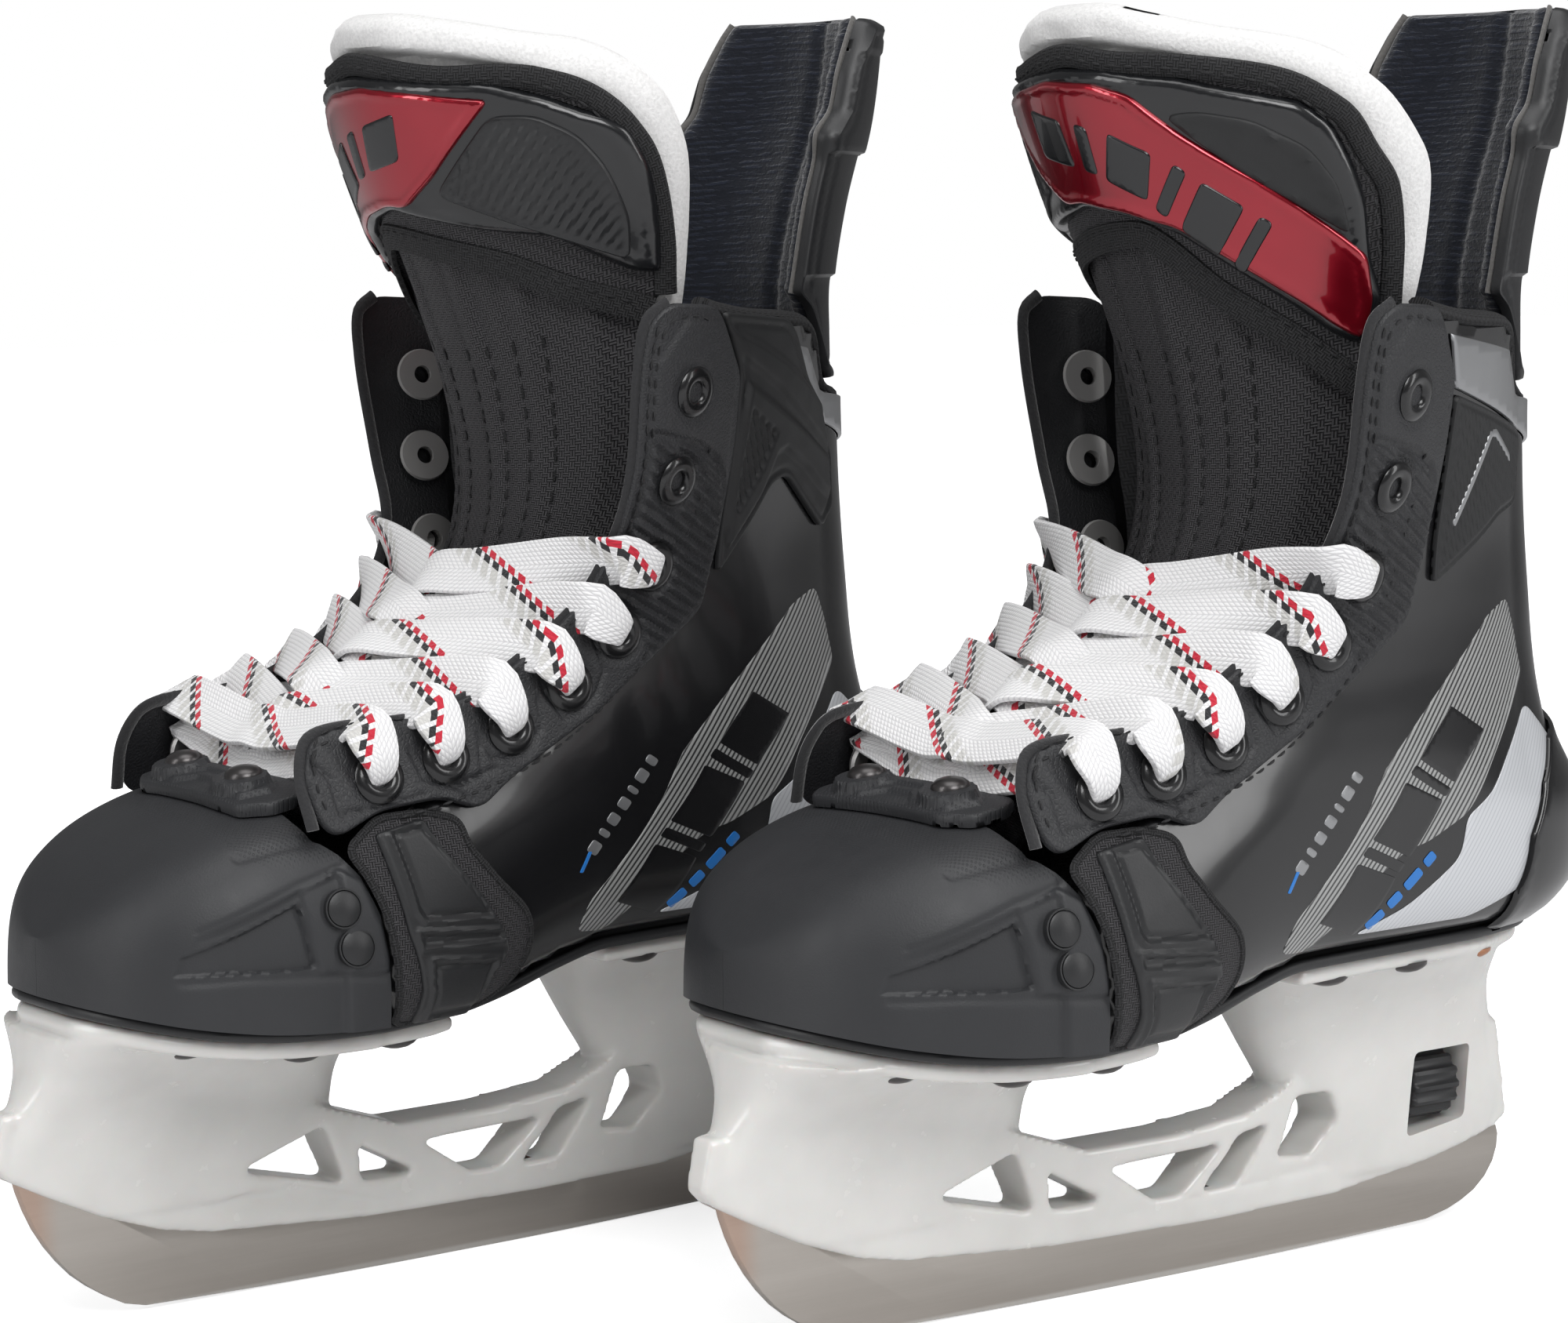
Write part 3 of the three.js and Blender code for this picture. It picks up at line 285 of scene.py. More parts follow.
def distance_to(points, line, closed=True):
    """Distance from each point to a line of points."""
    a = line if closed else line[:-1]
    ab = (np.roll(line, -1, 0) if closed else line[1:]) - a
    size = np.maximum((ab ** 2).sum(1), 1e-12)
    best = []
    for chunk in np.array_split(points, max(1, len(points) // 1500)):
        ap = chunk[:, None] - a[None]
        t = np.clip((ap * ab).sum(-1) / size, 0, 1)
        best.append(np.sqrt(((ap - t[..., None] * ab) ** 2).sum(-1)).min(1))
    return np.concatenate(best)


def patch_points(border, spacing, rim):
    """Points over the inside of a border: the border, rings that follow its rounded rim, and a loose grid."""
    sides = np.roll(border, -1, 0) - np.roll(border, 1, 0)
    inward = np.stack([-sides[:, 1], sides[:, 0]], -1) / np.maximum(np.linalg.norm(sides, axis=1), 1e-9)[:, None]
    if not inside(border[:1] + inward[:1] * 0.01, border)[0]:
        inward = -inward
    layers = [border]
    for angle in (30, 60, 90):
        step = rim * (1 - math.cos(math.radians(angle)))
        ring = border + inward * step
        layers.append(ring[inside(ring, border) & (distance_to(ring, border) > step * 0.9)])
    low, high = border.min(0), border.max(0)
    rows = np.arange(low[1], high[1], spacing * 0.87)
    columns = np.arange(low[0], high[0], spacing)
    grid = np.array([(x + (spacing / 2 if r % 2 else 0), y) for r, y in enumerate(rows) for x in columns])
    grid = grid[inside(grid, border)]
    layers.append(grid[distance_to(grid, border) > rim + spacing * 0.45])
    return np.vstack(layers)


def panel(outline, form, low, high, spacing=1.6, rim=0.8, relief=None, pad=False):
    """A closed sheet over the part of a form inside an outline, from offset low to high.

    Its rim is rounded, on both faces for a pad. relief(p, q, distance to the rim) is added to the outer face."""
    border = resample(np.asarray(outline, float), spacing)
    points = patch_points(border, spacing, rim)
    edges = [(i, (i + 1) % len(border)) for i in range(len(border))]
    flat, _, faces = delaunay_2d_cdt([Vector(p) for p in points], edges, [], 0, 1e-5)[:3]
    flat = np.array([v[:] for v in flat])
    centres = np.array([flat[list(face)].mean(0) for face in faces])
    faces = [list(face) for face, keep in zip(faces, inside(centres, border)) if keep]
    depth = distance_to(flat, border)
    share = np.sqrt(np.clip(1 - (1 - np.clip(depth / rim, 0, 1)) ** 2, 0, 1))
    middle = (low + high) / 2 if pad else low
    top = middle + (high - middle) * share
    if relief is not None:
        top = top + relief(flat[:, 0], flat[:, 1], depth)
    bottom = middle + (low - middle) * share
    on_rim = depth < 1e-3
    under = np.where(on_rim, np.arange(len(flat)), len(flat) + np.cumsum(~on_rim) - 1)
    verts = np.vstack([lifted(form, flat[:, 0], flat[:, 1], top),
                       lifted(form, flat[~on_rim, 0], flat[~on_rim, 1], bottom[~on_rim])])
    surf = np.column_stack([np.vstack([flat, flat[~on_rim]]), np.concatenate([depth, depth[~on_rim]])])
    return shape(verts, faces + [[under[i] for i in face[::-1]] for face in faces], surf)


def slab(outer, inner, surf=None):
    """A closed sheet between two grids of points."""
    rows, columns = outer.shape[:2]
    index = np.arange(rows * columns).reshape(rows, columns)
    quads = np.stack([index[:-1, :-1], index[1:, :-1], index[1:, 1:], index[:-1, 1:]], -1).reshape(-1, 4)
    size = rows * columns
    rim = np.concatenate([index[0, :-1], index[:-1, -1], index[-1, :0:-1], index[:0:-1, 0]])
    walls = [[a, b, b + size, a + size] for a, b in zip(rim, np.roll(rim, -1))]
    points = np.concatenate([outer.reshape(-1, 3), inner.reshape(-1, 3)])
    marks = None if surf is None else np.concatenate([surf.reshape(-1, 3)] * 2)
    return shape(points, quads.tolist() + (quads[:, ::-1] + size).tolist() + walls, marks)


def tube(path, section, normals_at, closed=False):
    """A section of (across, up) points carried along a path. surf holds the distance along and across."""
    path, normals_at = np.asarray(path, float), np.asarray(normals_at, float)
    ahead = np.roll(path, -1, 0) - np.roll(path, 1, 0)
    if not closed:
        ahead[0], ahead[-1] = path[1] - path[0], path[-1] - path[-2]
    ahead /= np.linalg.norm(ahead, axis=1, keepdims=True)
    across = np.cross(ahead, normals_at)
    across /= np.linalg.norm(across, axis=1, keepdims=True)
    up = np.cross(across, ahead)
    section = np.asarray(section, float)
    if section.ndim == 2:
        section = np.broadcast_to(section, (len(path),) + section.shape)
    verts = path[:, None] + across[:, None] * section[..., :1] + up[:, None] * section[..., 1:]
    count, sides = section.shape[:2]
    way = np.concatenate([[0], np.cumsum(np.linalg.norm(np.diff(path, axis=0), axis=1))])
    surf = np.concatenate([np.broadcast_to(way[:, None, None], (count, sides, 1)), section], -1)
    faces = []
    for i in range(count if closed else count - 1):
        j = (i + 1) % count
        faces += [[i * sides + k, i * sides + (k + 1) % sides, j * sides + (k + 1) % sides, j * sides + k]
                  for k in range(sides)]
    if not closed:
        faces += [list(range(sides))[::-1], [(count - 1) * sides + k for k in range(sides)]]
    return shape(verts, faces, surf)


def oval(half_width_mm, half_height, sides=10, power=1.0):
    """A closed section, round or squared off."""
    angles = np.linspace(0, 2 * math.pi, sides, endpoint=False)
    c, s = np.cos(angles), np.sin(angles)
    return np.column_stack([half_width_mm * np.sign(c) * np.abs(c) ** power,
                            half_height * np.sign(s) * np.abs(s) ** power])


def lathe(profile, centre, axis, sides=32):
    """A closed profile of (radius, height) points turned about an axis."""
    axis = np.asarray(axis, float) / np.linalg.norm(axis)
    side = np.cross(axis, (1, 0, 0) if abs(axis[0]) < 0.8 else (0, 0, 1))
    side /= np.linalg.norm(side)
    other = np.cross(axis, side)
    angles = np.linspace(0, 2 * math.pi, sides, endpoint=False)
    spokes = np.cos(angles)[:, None] * side + np.sin(angles)[:, None] * other
    profile = np.asarray(profile, float)
    verts = np.asarray(centre) + profile[:, :1, None] * spokes + profile[:, 1, None, None] * axis
    count = len(profile)
    faces = [[i * sides + k, i * sides + (k + 1) % sides, ((i + 1) % count) * sides + (k + 1) % sides,
              ((i + 1) % count) * sides + k] for i in range(count) for k in range(sides)]
    return shape(verts, faces)


def stitches(line, form, lift, pitch=3.4, length=2.4, radius=0.32):
    """A row of sewn stitches along a line on a form. Each one is a small capsule, sunk at both ends."""
    line = np.asarray(line, float)
    way = np.concatenate([[0], np.cumsum(np.linalg.norm(np.diff(line, axis=0), axis=1))])
    parts = []
    for start in np.arange(pitch / 2, way[-1] - length, pitch):
        at = np.linspace(start, start + length, 5)
        p, q = (np.interp(at, way, line[:, k]) for k in (0, 1))
        rise = lift + radius * (0.5 - 1.3 * np.linspace(-1, 1, 5) ** 4)
        size = np.sqrt(np.clip(1 - np.linspace(-0.95, 0.95, 5) ** 2, 0.08, 1))
        section = oval(radius, radius, 6)[None] * size[:, None, None]
        parts.append(tube(lifted(form, p, q, rise), section, normals(form, p, q)))
    return join(parts)


def place(name, part, look, body="skate", replaces=(), blend=None, sharp=40):
    """Sets a shape down on both skates. blend is (body, other body, start, end), with points in millimetres; only
    whether it is given is read, and a piece with a blend has its transform baked in and joins no body.
    """
    for side, matrix in SKATES.items():
        turned = np.array(matrix)
        verts = part.verts @ turned[:3, :3].T + turned[:3, 3]
        faces = part.faces if side == "left" else [face[::-1] for face in part.faces]
        mesh = bpy.data.meshes.new(f"{side}_{name}")
        mesh.from_pydata(verts.tolist(), [], faces)
        surf = part.surf if side == "left" else part.surf * (1, -1, 1)
        for key, values in (("local", part.verts), ("surf", surf)):
            field = mesh.attributes.new(key, "FLOAT_VECTOR", "POINT")
            field.data.foreach_set("vector", np.ascontiguousarray(values, np.float32).ravel())
        mesh.shade_smooth()
        mesh.set_sharp_from_angle(angle=math.radians(sharp))
        piece = bpy.data.objects.new(f"{side}_{name}", mesh)
        bpy.context.scene.collection.objects.link(piece)
        mesh.materials.append(look)
        if replaces:
            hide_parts(*[f"{side}_{node}" for node in replaces])
        if blend:
            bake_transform(piece)
        else:
            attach(piece, f"{side}_{body}")


def modified(part, *modifiers):
    """A shape after Blender modifiers, each given as (type, {setting: value})."""
    mesh = bpy.data.meshes.new("work")
    mesh.from_pydata(part.verts.tolist(), [], part.faces)
    work = bpy.data.objects.new("work", mesh)
    bpy.context.scene.collection.objects.link(work)
    for kind, settings in modifiers:
        step = work.modifiers.new(kind, kind)
        for key, value in settings.items():
            setattr(step, key, value)
    bpy.context.view_layer.update()
    result = work.evaluated_get(bpy.context.evaluated_depsgraph_get()).to_mesh()
    verts = np.zeros(len(result.vertices) * 3)
    result.vertices.foreach_get("co", verts)
    made = shape(verts, [list(face.vertices) for face in result.polygons])
    bpy.data.objects.remove(work)
    return made


def cut(part, *tools):
    """A shape with other shapes taken away."""
    for tool in tools:
        mesh = bpy.data.meshes.new("tool")
        mesh.from_pydata(tool.verts.tolist(), [], tool.faces)
        cutter = bpy.data.objects.new("tool", mesh)
        bpy.context.scene.collection.objects.link(cutter)
        part = modified(part, ("BOOLEAN", {"object": cutter, "solver": "EXACT"}))
        bpy.data.objects.remove(cutter)
    return part


def prism(outline, y0, y1):
    """A side-view outline (x, z) swept across the width."""
    count = len(outline)
    verts = [(x, y, z) for y in (y0, y1) for x, z in outline]
    walls = [[i, (i + 1) % count, count + (i + 1) % count, count + i] for i in range(count)]
    return shape(verts, [list(range(count))[::-1], list(range(count, 2 * count))] + walls)


def node(tree, kind, inputs=None, **settings):
    made = tree.nodes.new("ShaderNode" + kind)
    for key, value in settings.items():
        setattr(made, key, value)
    for key, value in (inputs or {}).items():
        if isinstance(value, bpy.types.NodeSocket):
            tree.links.new(value, made.inputs[key])
        else:
            made.inputs[key].default_value = value
    return made


def calc(tree, operation, *values):
    """A maths node on numbers or sockets."""
    return node(tree, "Math", dict(enumerate(values)), operation=operation).outputs[0]


def coordinates(tree, field="local"):
    """Millimetre coordinates kept on the mesh: 'local' in the skate's frame, 'surf' on the piece's surface."""
    return node(tree, "Attribute", attribute_name=field).outputs["Vector"]


def noise(tree, size, detail=3.0, stretch=(1, 1, 1), field="local"):
    """Noise whose features are about size millimetres."""
    at = node(tree, "VectorMath", {0: coordinates(tree, field), 1: [s / size for s in stretch]},
              operation="MULTIPLY").outputs[0]
    return node(tree, "TexNoise", {"Vector": at, "Scale": 1.0, "Detail": detail}).outputs[0]


def mix(tree, share, first, second):
    """Colour between two colours or sockets."""
    pair = {key: (*value, 1) if isinstance(value, tuple) else value for key, value in ((6, first), (7, second))}
    return node(tree, "Mix", {0: share, **pair}, data_type="RGBA").outputs[2]


def band(tree, value, low, high):
    """0 below low, 1 above high, smooth between."""
    return node(tree, "MapRange", {0: value, 1: low, 2: high}, interpolation_type="SMOOTHSTEP").outputs[0]


def look(name, slot, colour, rough, **values):
    """A new material on a Principled shader, and its node tree. Its colour and roughness vary a little."""
    made = bpy.data.materials.new(name)
    made.use_nodes = True
    tree = made.node_tree
    shader = tree.nodes["Principled BSDF"]
    for key, value in values.items():
        shader.inputs[key.replace("_", " ")].default_value = value
    cloudy = noise(tree, 14, 4)
    darker = tuple(c * 0.82 for c in colour)
    tree.links.new(mix(tree, cloudy, darker, colour), shader.inputs["Base Color"])
    tree.links.new(node(tree, "MapRange", {0: noise(tree, 5, 5), 3: rough * 0.85, 4: min(rough * 1.15, 1)}).outputs[0],
                   shader.inputs["Roughness"])
    return made, tree, shader


def bump(tree, shader, height, depth, strength=1.0):
    """Adds a height pattern, depth in millimetres, over any bump already there."""
    before = shader.inputs["Normal"].links
    inputs = {"Height": height, "Distance": depth * MM, "Strength": strength}
    if before:
        inputs["Normal"] = before[0].from_socket
    tree.links.new(node(tree, "Bump", inputs).outputs[0], shader.inputs["Normal"])


def weave(tree, pitch, field="surf", ratio=1.0):
    """Over-and-under threads of a plain cloth: 0 in the gaps, 1 on the crowns."""
    parts = node(tree, "SeparateXYZ", {0: coordinates(tree, field)}).outputs
    across = calc(tree, "MULTIPLY", parts[0], math.pi / pitch)
    along = calc(tree, "MULTIPLY", parts[1], math.pi / (pitch * ratio))
    warp = calc(tree, "ABSOLUTE", calc(tree, "SINE", across))
    weft = calc(tree, "ABSOLUTE", calc(tree, "SINE", along))
    checker = calc(tree, "MULTIPLY", calc(tree, "SINE", calc(tree, "MULTIPLY", across, 0.5)),
                   calc(tree, "SINE", calc(tree, "MULTIPLY", along, 0.5)))
    over = calc(tree, "GREATER_THAN", checker, 0.0)
    return calc(tree, "ADD", calc(tree, "MULTIPLY", warp, over),
                calc(tree, "MULTIPLY", weft, calc(tree, "SUBTRACT", 1.0, over)))


def holder_look():
    made, tree, shader = look("holder_plastic", "holder_white", (0.80, 0.79, 0.765), 0.26, Subsurface_Weight=0.12,
                              Subsurface_Scale=0.004, Coat_Weight=0.25, Coat_Roughness=0.12)
    bump(tree, shader, noise(tree, 0.8, 3), 0.01)
    return made


def steel_look():
    made, tree, shader = look("runner_steel", "runner_steel", (0.50, 0.465, 0.425), 0.36, Metallic=1.0,
                              Anisotropic=0.55)
    parts = node(tree, "SeparateXYZ", {0: coordinates(tree)}).outputs
    grain = noise(tree, 0.55, 4, stretch=(0.018, 1, 1))
    broad = noise(tree, 6, 3, stretch=(0.1, 1, 1))
    ground = band(tree, parts[2], 0.9, 1.7)
    colour = mix(tree, broad, (0.43, 0.395, 0.36), (0.56, 0.525, 0.485))
    colour = mix(tree, ground, (0.66, 0.64, 0.61), colour)
    tip = band(tree, parts[0], 97, 104)
    colour = mix(tree, calc(tree, "MULTIPLY", tip, 0.55), colour, (0.50, 0.30, 0.21))
    tree.links.new(colour, shader.inputs["Base Color"])
    tree.links.new(node(tree, "MapRange", {0: grain, 3: 0.24, 4: 0.50}).outputs[0], shader.inputs["Roughness"])
    bump(tree, shader, grain, 0.02)
    return made


def plastic_look(name, slot, colour, rough, grain_size=0.5, grain=0.03, **values):
    made, tree, shader = look(name, slot, colour, rough, **values)
    if grain:
        bump(tree, shader, noise(tree, grain_size, 5), grain)
    return made


def toe_look():
    """Fine-grained charcoal plastic, with a field of small dimples on top at the root."""
    made, tree, shader = look("toe_plastic", "toe_plastic", (0.026, 0.027, 0.030), 0.52, Specular_IOR_Level=0.5)
    parts = node(tree, "SeparateXYZ", {0: coordinates(tree)}).outputs
    pitch = 1.15
    rows = calc(tree, "SINE", calc(tree, "MULTIPLY", parts[0], 2 * math.pi / pitch))
    columns = calc(tree, "SINE", calc(tree, "MULTIPLY", parts[1], 2 * math.pi / pitch))
    dimple = band(tree, calc(tree, "MULTIPLY", rows, columns), 0.25, 0.7)
    top = calc(tree, "MULTIPLY", band(tree, parts[2], 96, 101), band(tree, parts[0], 76, 70))
    field = calc(tree, "MULTIPLY", dimple, top)
    bump(tree, shader, calc(tree, "SUBTRACT", 1.0, field), 0.12)
    bump(tree, shader, noise(tree, 0.42, 6), 0.055)
    return made


def leather_look(name, colour, rough=0.52, grain=0.06):
    made, tree, shader = look(name, "facing_black", colour, rough, Specular_IOR_Level=0.5)
    at = node(tree, "VectorMath", {0: coordinates(tree), 1: [1.1] * 3}, operation="MULTIPLY").outputs[0]
    cells = node(tree, "TexVoronoi", {"Vector": at, "Scale": 1.0}, feature="DISTANCE_TO_EDGE").outputs[0]
    bump(tree, shader, band(tree, cells, 0.0, 0.25), grain)
    bump(tree, shader, noise(tree, 0.3, 4), 0.02)
    return made


def cloth_look(name, slot, colour, pitch, depth, rough=0.85, light=None, field="surf", ratio=1.0, **values):
    """Woven cloth: the threads' crowns are painted lighter (light), a painted highlight, and the gaps between them a
    third as bright, a painted shade.
    """
    made, tree, shader = look(name, slot, colour, rough, **values)
    threads = weave(tree, pitch, field, ratio)
    # Painted shade in the gaps between threads and painted highlight on their crowns, following the weave's relief.
    tree.links.new(mix(tree, band(tree, threads, 0.45, 0.95), tuple(c * 0.35 for c in colour), light or colour),
                   shader.inputs["Base Color"])
    bump(tree, shader, threads, depth)
    bump(tree, shader, noise(tree, pitch * 0.6, 4), depth * 0.4)
    return made


def felt_look(name, slot, colour, fuzz=0.22, ribs=0.0):
    """Matted fibres: a soft sheen, cloudy tone and fine uneven nap; ribs add the cords of the guard's lining, painted
    lighter on their crowns as a painted highlight and darker between them as painted shade.
    """
    made, tree, shader = look(name, slot, colour, 0.95, Sheen_Weight=0.5, Sheen_Roughness=0.5,
                              Specular_IOR_Level=0.15)
    fibres = noise(tree, 0.7, 8)
    tone = mix(tree, band(tree, fibres, 0.3, 0.7), tuple(c * 0.86 for c in colour), colour)
    if ribs:
        parts = node(tree, "SeparateXYZ", {0: coordinates(tree, "surf")}).outputs
        wobble = calc(tree, "MULTIPLY", noise(tree, 9, 2), 0.7)
        cords = calc(tree, "SINE", calc(tree, "MULTIPLY", calc(tree, "ADD", parts[0], wobble), 2 * math.pi / ribs))
        dashes = band(tree, noise(tree, 1.4, 3, stretch=(0.5, 0.5, 1.6)), 0.4, 0.62)
        cords = calc(tree, "MULTIPLY", band(tree, cords, -0.9, 0.8), dashes)
        # Painted highlight on the cord crowns and painted shade between the cords.
        tone = mix(tree, cords, tuple(c * 0.6 for c in colour), tuple(c * 1.25 for c in colour))
        bump(tree, shader, cords, 0.16)
    tree.links.new(tone, shader.inputs["Base Color"])
    bump(tree, shader, fibres, fuzz)
    return made


def lace_look():
    """Flat white braid with slanting rows of red and black ticks beside a pale grey fleck."""
    made, tree, shader = look("lace_braid", "lace_white", (0.86, 0.855, 0.86), 0.9, Sheen_Weight=0.3)
    parts = node(tree, "SeparateXYZ", {0: coordinates(tree, "surf")}).outputs
    along, across = parts[0], parts[1]
    repeat, lean = 34.0, -1.5
    slant = calc(tree, "ADD", along, calc(tree, "MULTIPLY", across, lean))
    place_in = calc(tree, "FLOORED_MODULO", calc(tree, "MULTIPLY", slant, -1.0), repeat)
    dash = calc(tree, "LESS_THAN", calc(tree, "FLOORED_MODULO", along, 2.9), 1.9)
    gap = calc(tree, "LESS_THAN", calc(tree, "FLOORED_MODULO", calc(tree, "ADD", along, 1.45), 2.9), 1.9)

    def row(low, high):
        return calc(tree, "MULTIPLY", calc(tree, "GREATER_THAN", place_in, low),
                    calc(tree, "LESS_THAN", place_in, high))

    herring = calc(tree, "ABSOLUTE", calc(tree, "SINE", calc(tree, "MULTIPLY", calc(
        tree, "ADD", along, calc(tree, "ABSOLUTE", calc(tree, "MULTIPLY", across, 0.9))), math.pi / 1.25)))
    rows = calc(tree, "ABSOLUTE", calc(tree, "SINE", calc(tree, "MULTIPLY", across, math.pi / 0.95)))
    threads = calc(tree, "MULTIPLY", herring, rows)
    # Painted shade between the braid's threads: the gaps are a darker grey than the thread crowns.
    base = mix(tree, band(tree, threads, 0.0, 0.5), (0.70, 0.695, 0.71), (0.90, 0.895, 0.90))
    faint = calc(tree, "MULTIPLY", band(tree, place_in, 16.5, 13.5), band(tree, place_in, 9, 10))
    fleck = mix(tree, calc(tree, "MULTIPLY", calc(tree, "MULTIPLY", faint, gap), 0.6), base, (0.52, 0.51, 0.47))
    red = mix(tree, calc(tree, "MULTIPLY", row(4.6, 7.1), dash), fleck, (0.58, 0.015, 0.04))
    black = mix(tree, calc(tree, "MULTIPLY", row(7.1, 9.6), gap), red, (0.02, 0.02, 0.022))
    tree.links.new(black, shader.inputs["Base Color"])
    bump(tree, shader, threads, 0.16)
    bump(tree, shader, noise(tree, 0.35, 4), 0.05)
    return made


def striped_look(name, slot, colour, line, pitch, share, angle, rough=0.35, metallic=0.0):
    """A printed field of thin slanting pinstripes."""
    made, tree, shader = look(name, slot, colour, rough, Metallic=metallic, Coat_Weight=0.6)
    parts = node(tree, "SeparateXYZ", {0: coordinates(tree)}).outputs
    run = calc(tree, "SUBTRACT", calc(tree, "MULTIPLY", parts[2], math.cos(angle)),
               calc(tree, "MULTIPLY", parts[0], math.sin(angle)))
    stripe = calc(tree, "LESS_THAN", calc(tree, "FLOORED_MODULO", run, pitch), pitch * share)
    tree.links.new(mix(tree, stripe, colour, line), shader.inputs["Base Color"])
    return made


def candy_look():
    """Red lacquer over metal flake."""
    made, tree, shader = look("badge_candy", "badge_red", (0.36, 0.004, 0.018), 0.24, Metallic=0.75,
                              Coat_Weight=1.0, Coat_Roughness=0.05)
    bump(tree, shader, noise(tree, 0.2, 2), 0.01)
    return made


def make_looks():
    dark = (0.010, 0.0105, 0.012)
    return {
        "holder": holder_look(),
        "steel": steel_look(),
        "toe": toe_look(),
        "shell": plastic_look("shell_gloss", "gloss_black", (0.0095, 0.0095, 0.0105), 0.21, 8, 0.03,
                              Coat_Weight=0.3, Coat_Roughness=0.08),
        "gloss": plastic_look("moulded_gloss", "gloss_black", dark, 0.24, 1.2, 0.012, Coat_Weight=0.3),
        "satin": plastic_look("moulded_satin", "black_plastic", (0.017, 0.0175, 0.019), 0.42, 0.5, 0.03),
        "matte": plastic_look("moulded_matte", "black_plastic", (0.013, 0.0135, 0.0145), 0.55, 0.4, 0.035),
        "facing": leather_look("facing_skin", (0.022, 0.0225, 0.025)),
        "grain": leather_look("grained_skin", (0.026, 0.0265, 0.029), 0.5, 0.12),
        "stitch": cloth_look("thread", "soft_black", (0.02, 0.02, 0.022), 0.4, 0.05, 0.7, field="local"),
        "cut": felt_look("cut_edge", "facing_black", (0.13, 0.125, 0.12)),
        "fuzz": felt_look("dark_fuzz", "facing_black", (0.028, 0.028, 0.030)),
        # light, for the mesh and the webbing, is the painted highlight colour on their thread crowns.
        "mesh": cloth_look("open_mesh", "soft_black", (0.010, 0.010, 0.012), 0.62, 0.16, 0.6,
                           light=(0.040, 0.038, 0.042), ratio=0.8),
        "webbing": cloth_look("webbing", "soft_black", (0.008, 0.008, 0.009), 0.6, 0.18, 0.8,
                              light=(0.02, 0.02, 0.022)),
        "liner": cloth_look("liner_cloth", "soft_black", (0.014, 0.014, 0.016), 0.8, 0.12, 0.8),
        "felt": felt_look("white_felt", "felt_white", (0.86, 0.855, 0.85)),
        "navy": felt_look("navy_felt", "felt_navy", (0.010, 0.013, 0.023), 0.2, ribs=1.4),
        "lace": lace_look(),
        "eyelet": plastic_look("eyelet_metal", "rivet_dark", (0.012, 0.012, 0.013), 0.28, 0.6, 0.01,
                               Metallic=0.3, Coat_Weight=0.4),
        "washer": plastic_look("washer_metal", "rivet_dark", (0.56, 0.55, 0.54), 0.36, 0.5, 0.01, Metallic=0.6),
        "rivet": plastic_look("rivet_metal", "rivet_dark", (0.09, 0.085, 0.085), 0.32, 0.6, 0.01, Metallic=0.8),
        "copper": plastic_look("rivet_copper", "rivet_copper", (0.55, 0.27, 0.16), 0.34, 0.6, 0.01, Metallic=1.0),
        "silver": plastic_look("silver_print", "silver_band", (0.33, 0.335, 0.345), 0.34, 0.5, 0.01,
                               Metallic=0.55, Coat_Weight=0.4),
        "pinstripe": striped_look("pinstripe_print", "silver_band", (0.33, 0.335, 0.33), (0.03, 0.03, 0.031),
                                  1.25, 0.42, math.radians(131)),
        "white_print": striped_look("white_print", "silver_band", (0.62, 0.635, 0.66), (0.50, 0.515, 0.545),
                                    1.15, 0.3, math.radians(128), 0.3, 0.15),
        "blue": plastic_look("blue_print", "silver_band", (0.02, 0.20, 0.62), 0.35, 0.5, 0.0),
        "candy": candy_look(),
    }
# ---------------------------------------------------------------- boot
LOOKS = make_looks()
FINE = 1.0  # grid size factor
MIDSOLE_X = 42


def mapped(outline):
    """Side-view points (x, z) as boot coordinates (way round, z)."""
    outline = np.asarray(outline, float)
    return np.column_stack([arc(outline[:, 0], outline[:, 1]), outline[:, 1]])


def side_panel(outline, low, high, spacing=1.6, rim=0.7, relief=None, radius=2.5):
    return panel(rounded(mapped(outline), radius), boot, low, high, spacing * FINE, rim, relief)


def wrapped(side, low, high, spacing=2.2, rim=0.8, relief=None, pad=False):
    """A sheet round the heel. side runs from the bottom of the heel round the front to the top of the heel."""
    half = mapped(side)
    other = half[::-1] * (-1, 1)
    keep = other[(other[:, 0] < -0.01)]
    return panel(np.vstack([half, keep]), boot, low, high, spacing * FINE, rim, relief, pad)


def sole_line(x0, x1, rise, step=6):
    xs = np.linspace(x0, x1, max(2, int(abs(x1 - x0) / step)))
    return np.column_stack([xs, sole_z(xs) + rise]).tolist()


def across_eyelets(i):
    """Forward and upward direction across the eyelet line, in side view."""
    run = EYELETS[min(i + 1, len(EYELETS) - 1)] - EYELETS[max(i - 1, 0)]
    return np.array([run[1], -run[0]]) / np.linalg.norm(run)


def eyelet_line(distance):
    return [(place + across_eyelets(i) * distance).tolist() for i, place in enumerate(EYELETS)]


HEEL = [-130, HEEL_SOLE_Z]
COLLAR = [[-33, 208], [-38, 207], [-51, 205.3], [-72, 204], [-77, 202], [-80, 199], [-83, 194], [-86, 190],
          [-92, 187.5]]


def boot_shell():
    side = (sole_line(-130, MIDSOLE_X, 0) + [[44, 70], [44.2, 77], [46, 86], [49.5, 94], [46, 101]]
            + eyelet_line(-4.4)[1:] + COLLAR + [[-130, 187.5]])
    return wrapped(side, -2.6, 0)


def liner():
    side = (sole_line(-130, MIDSOLE_X, 2) + [[42, 100]] + eyelet_line(-5.6)[1:]
            + [[x - 0.5, z - 0.8] for x, z in COLLAR] + [[-130, 186.5]])
    return wrapped(side, -7.2, -2.7, rim=2.0, pad=True)


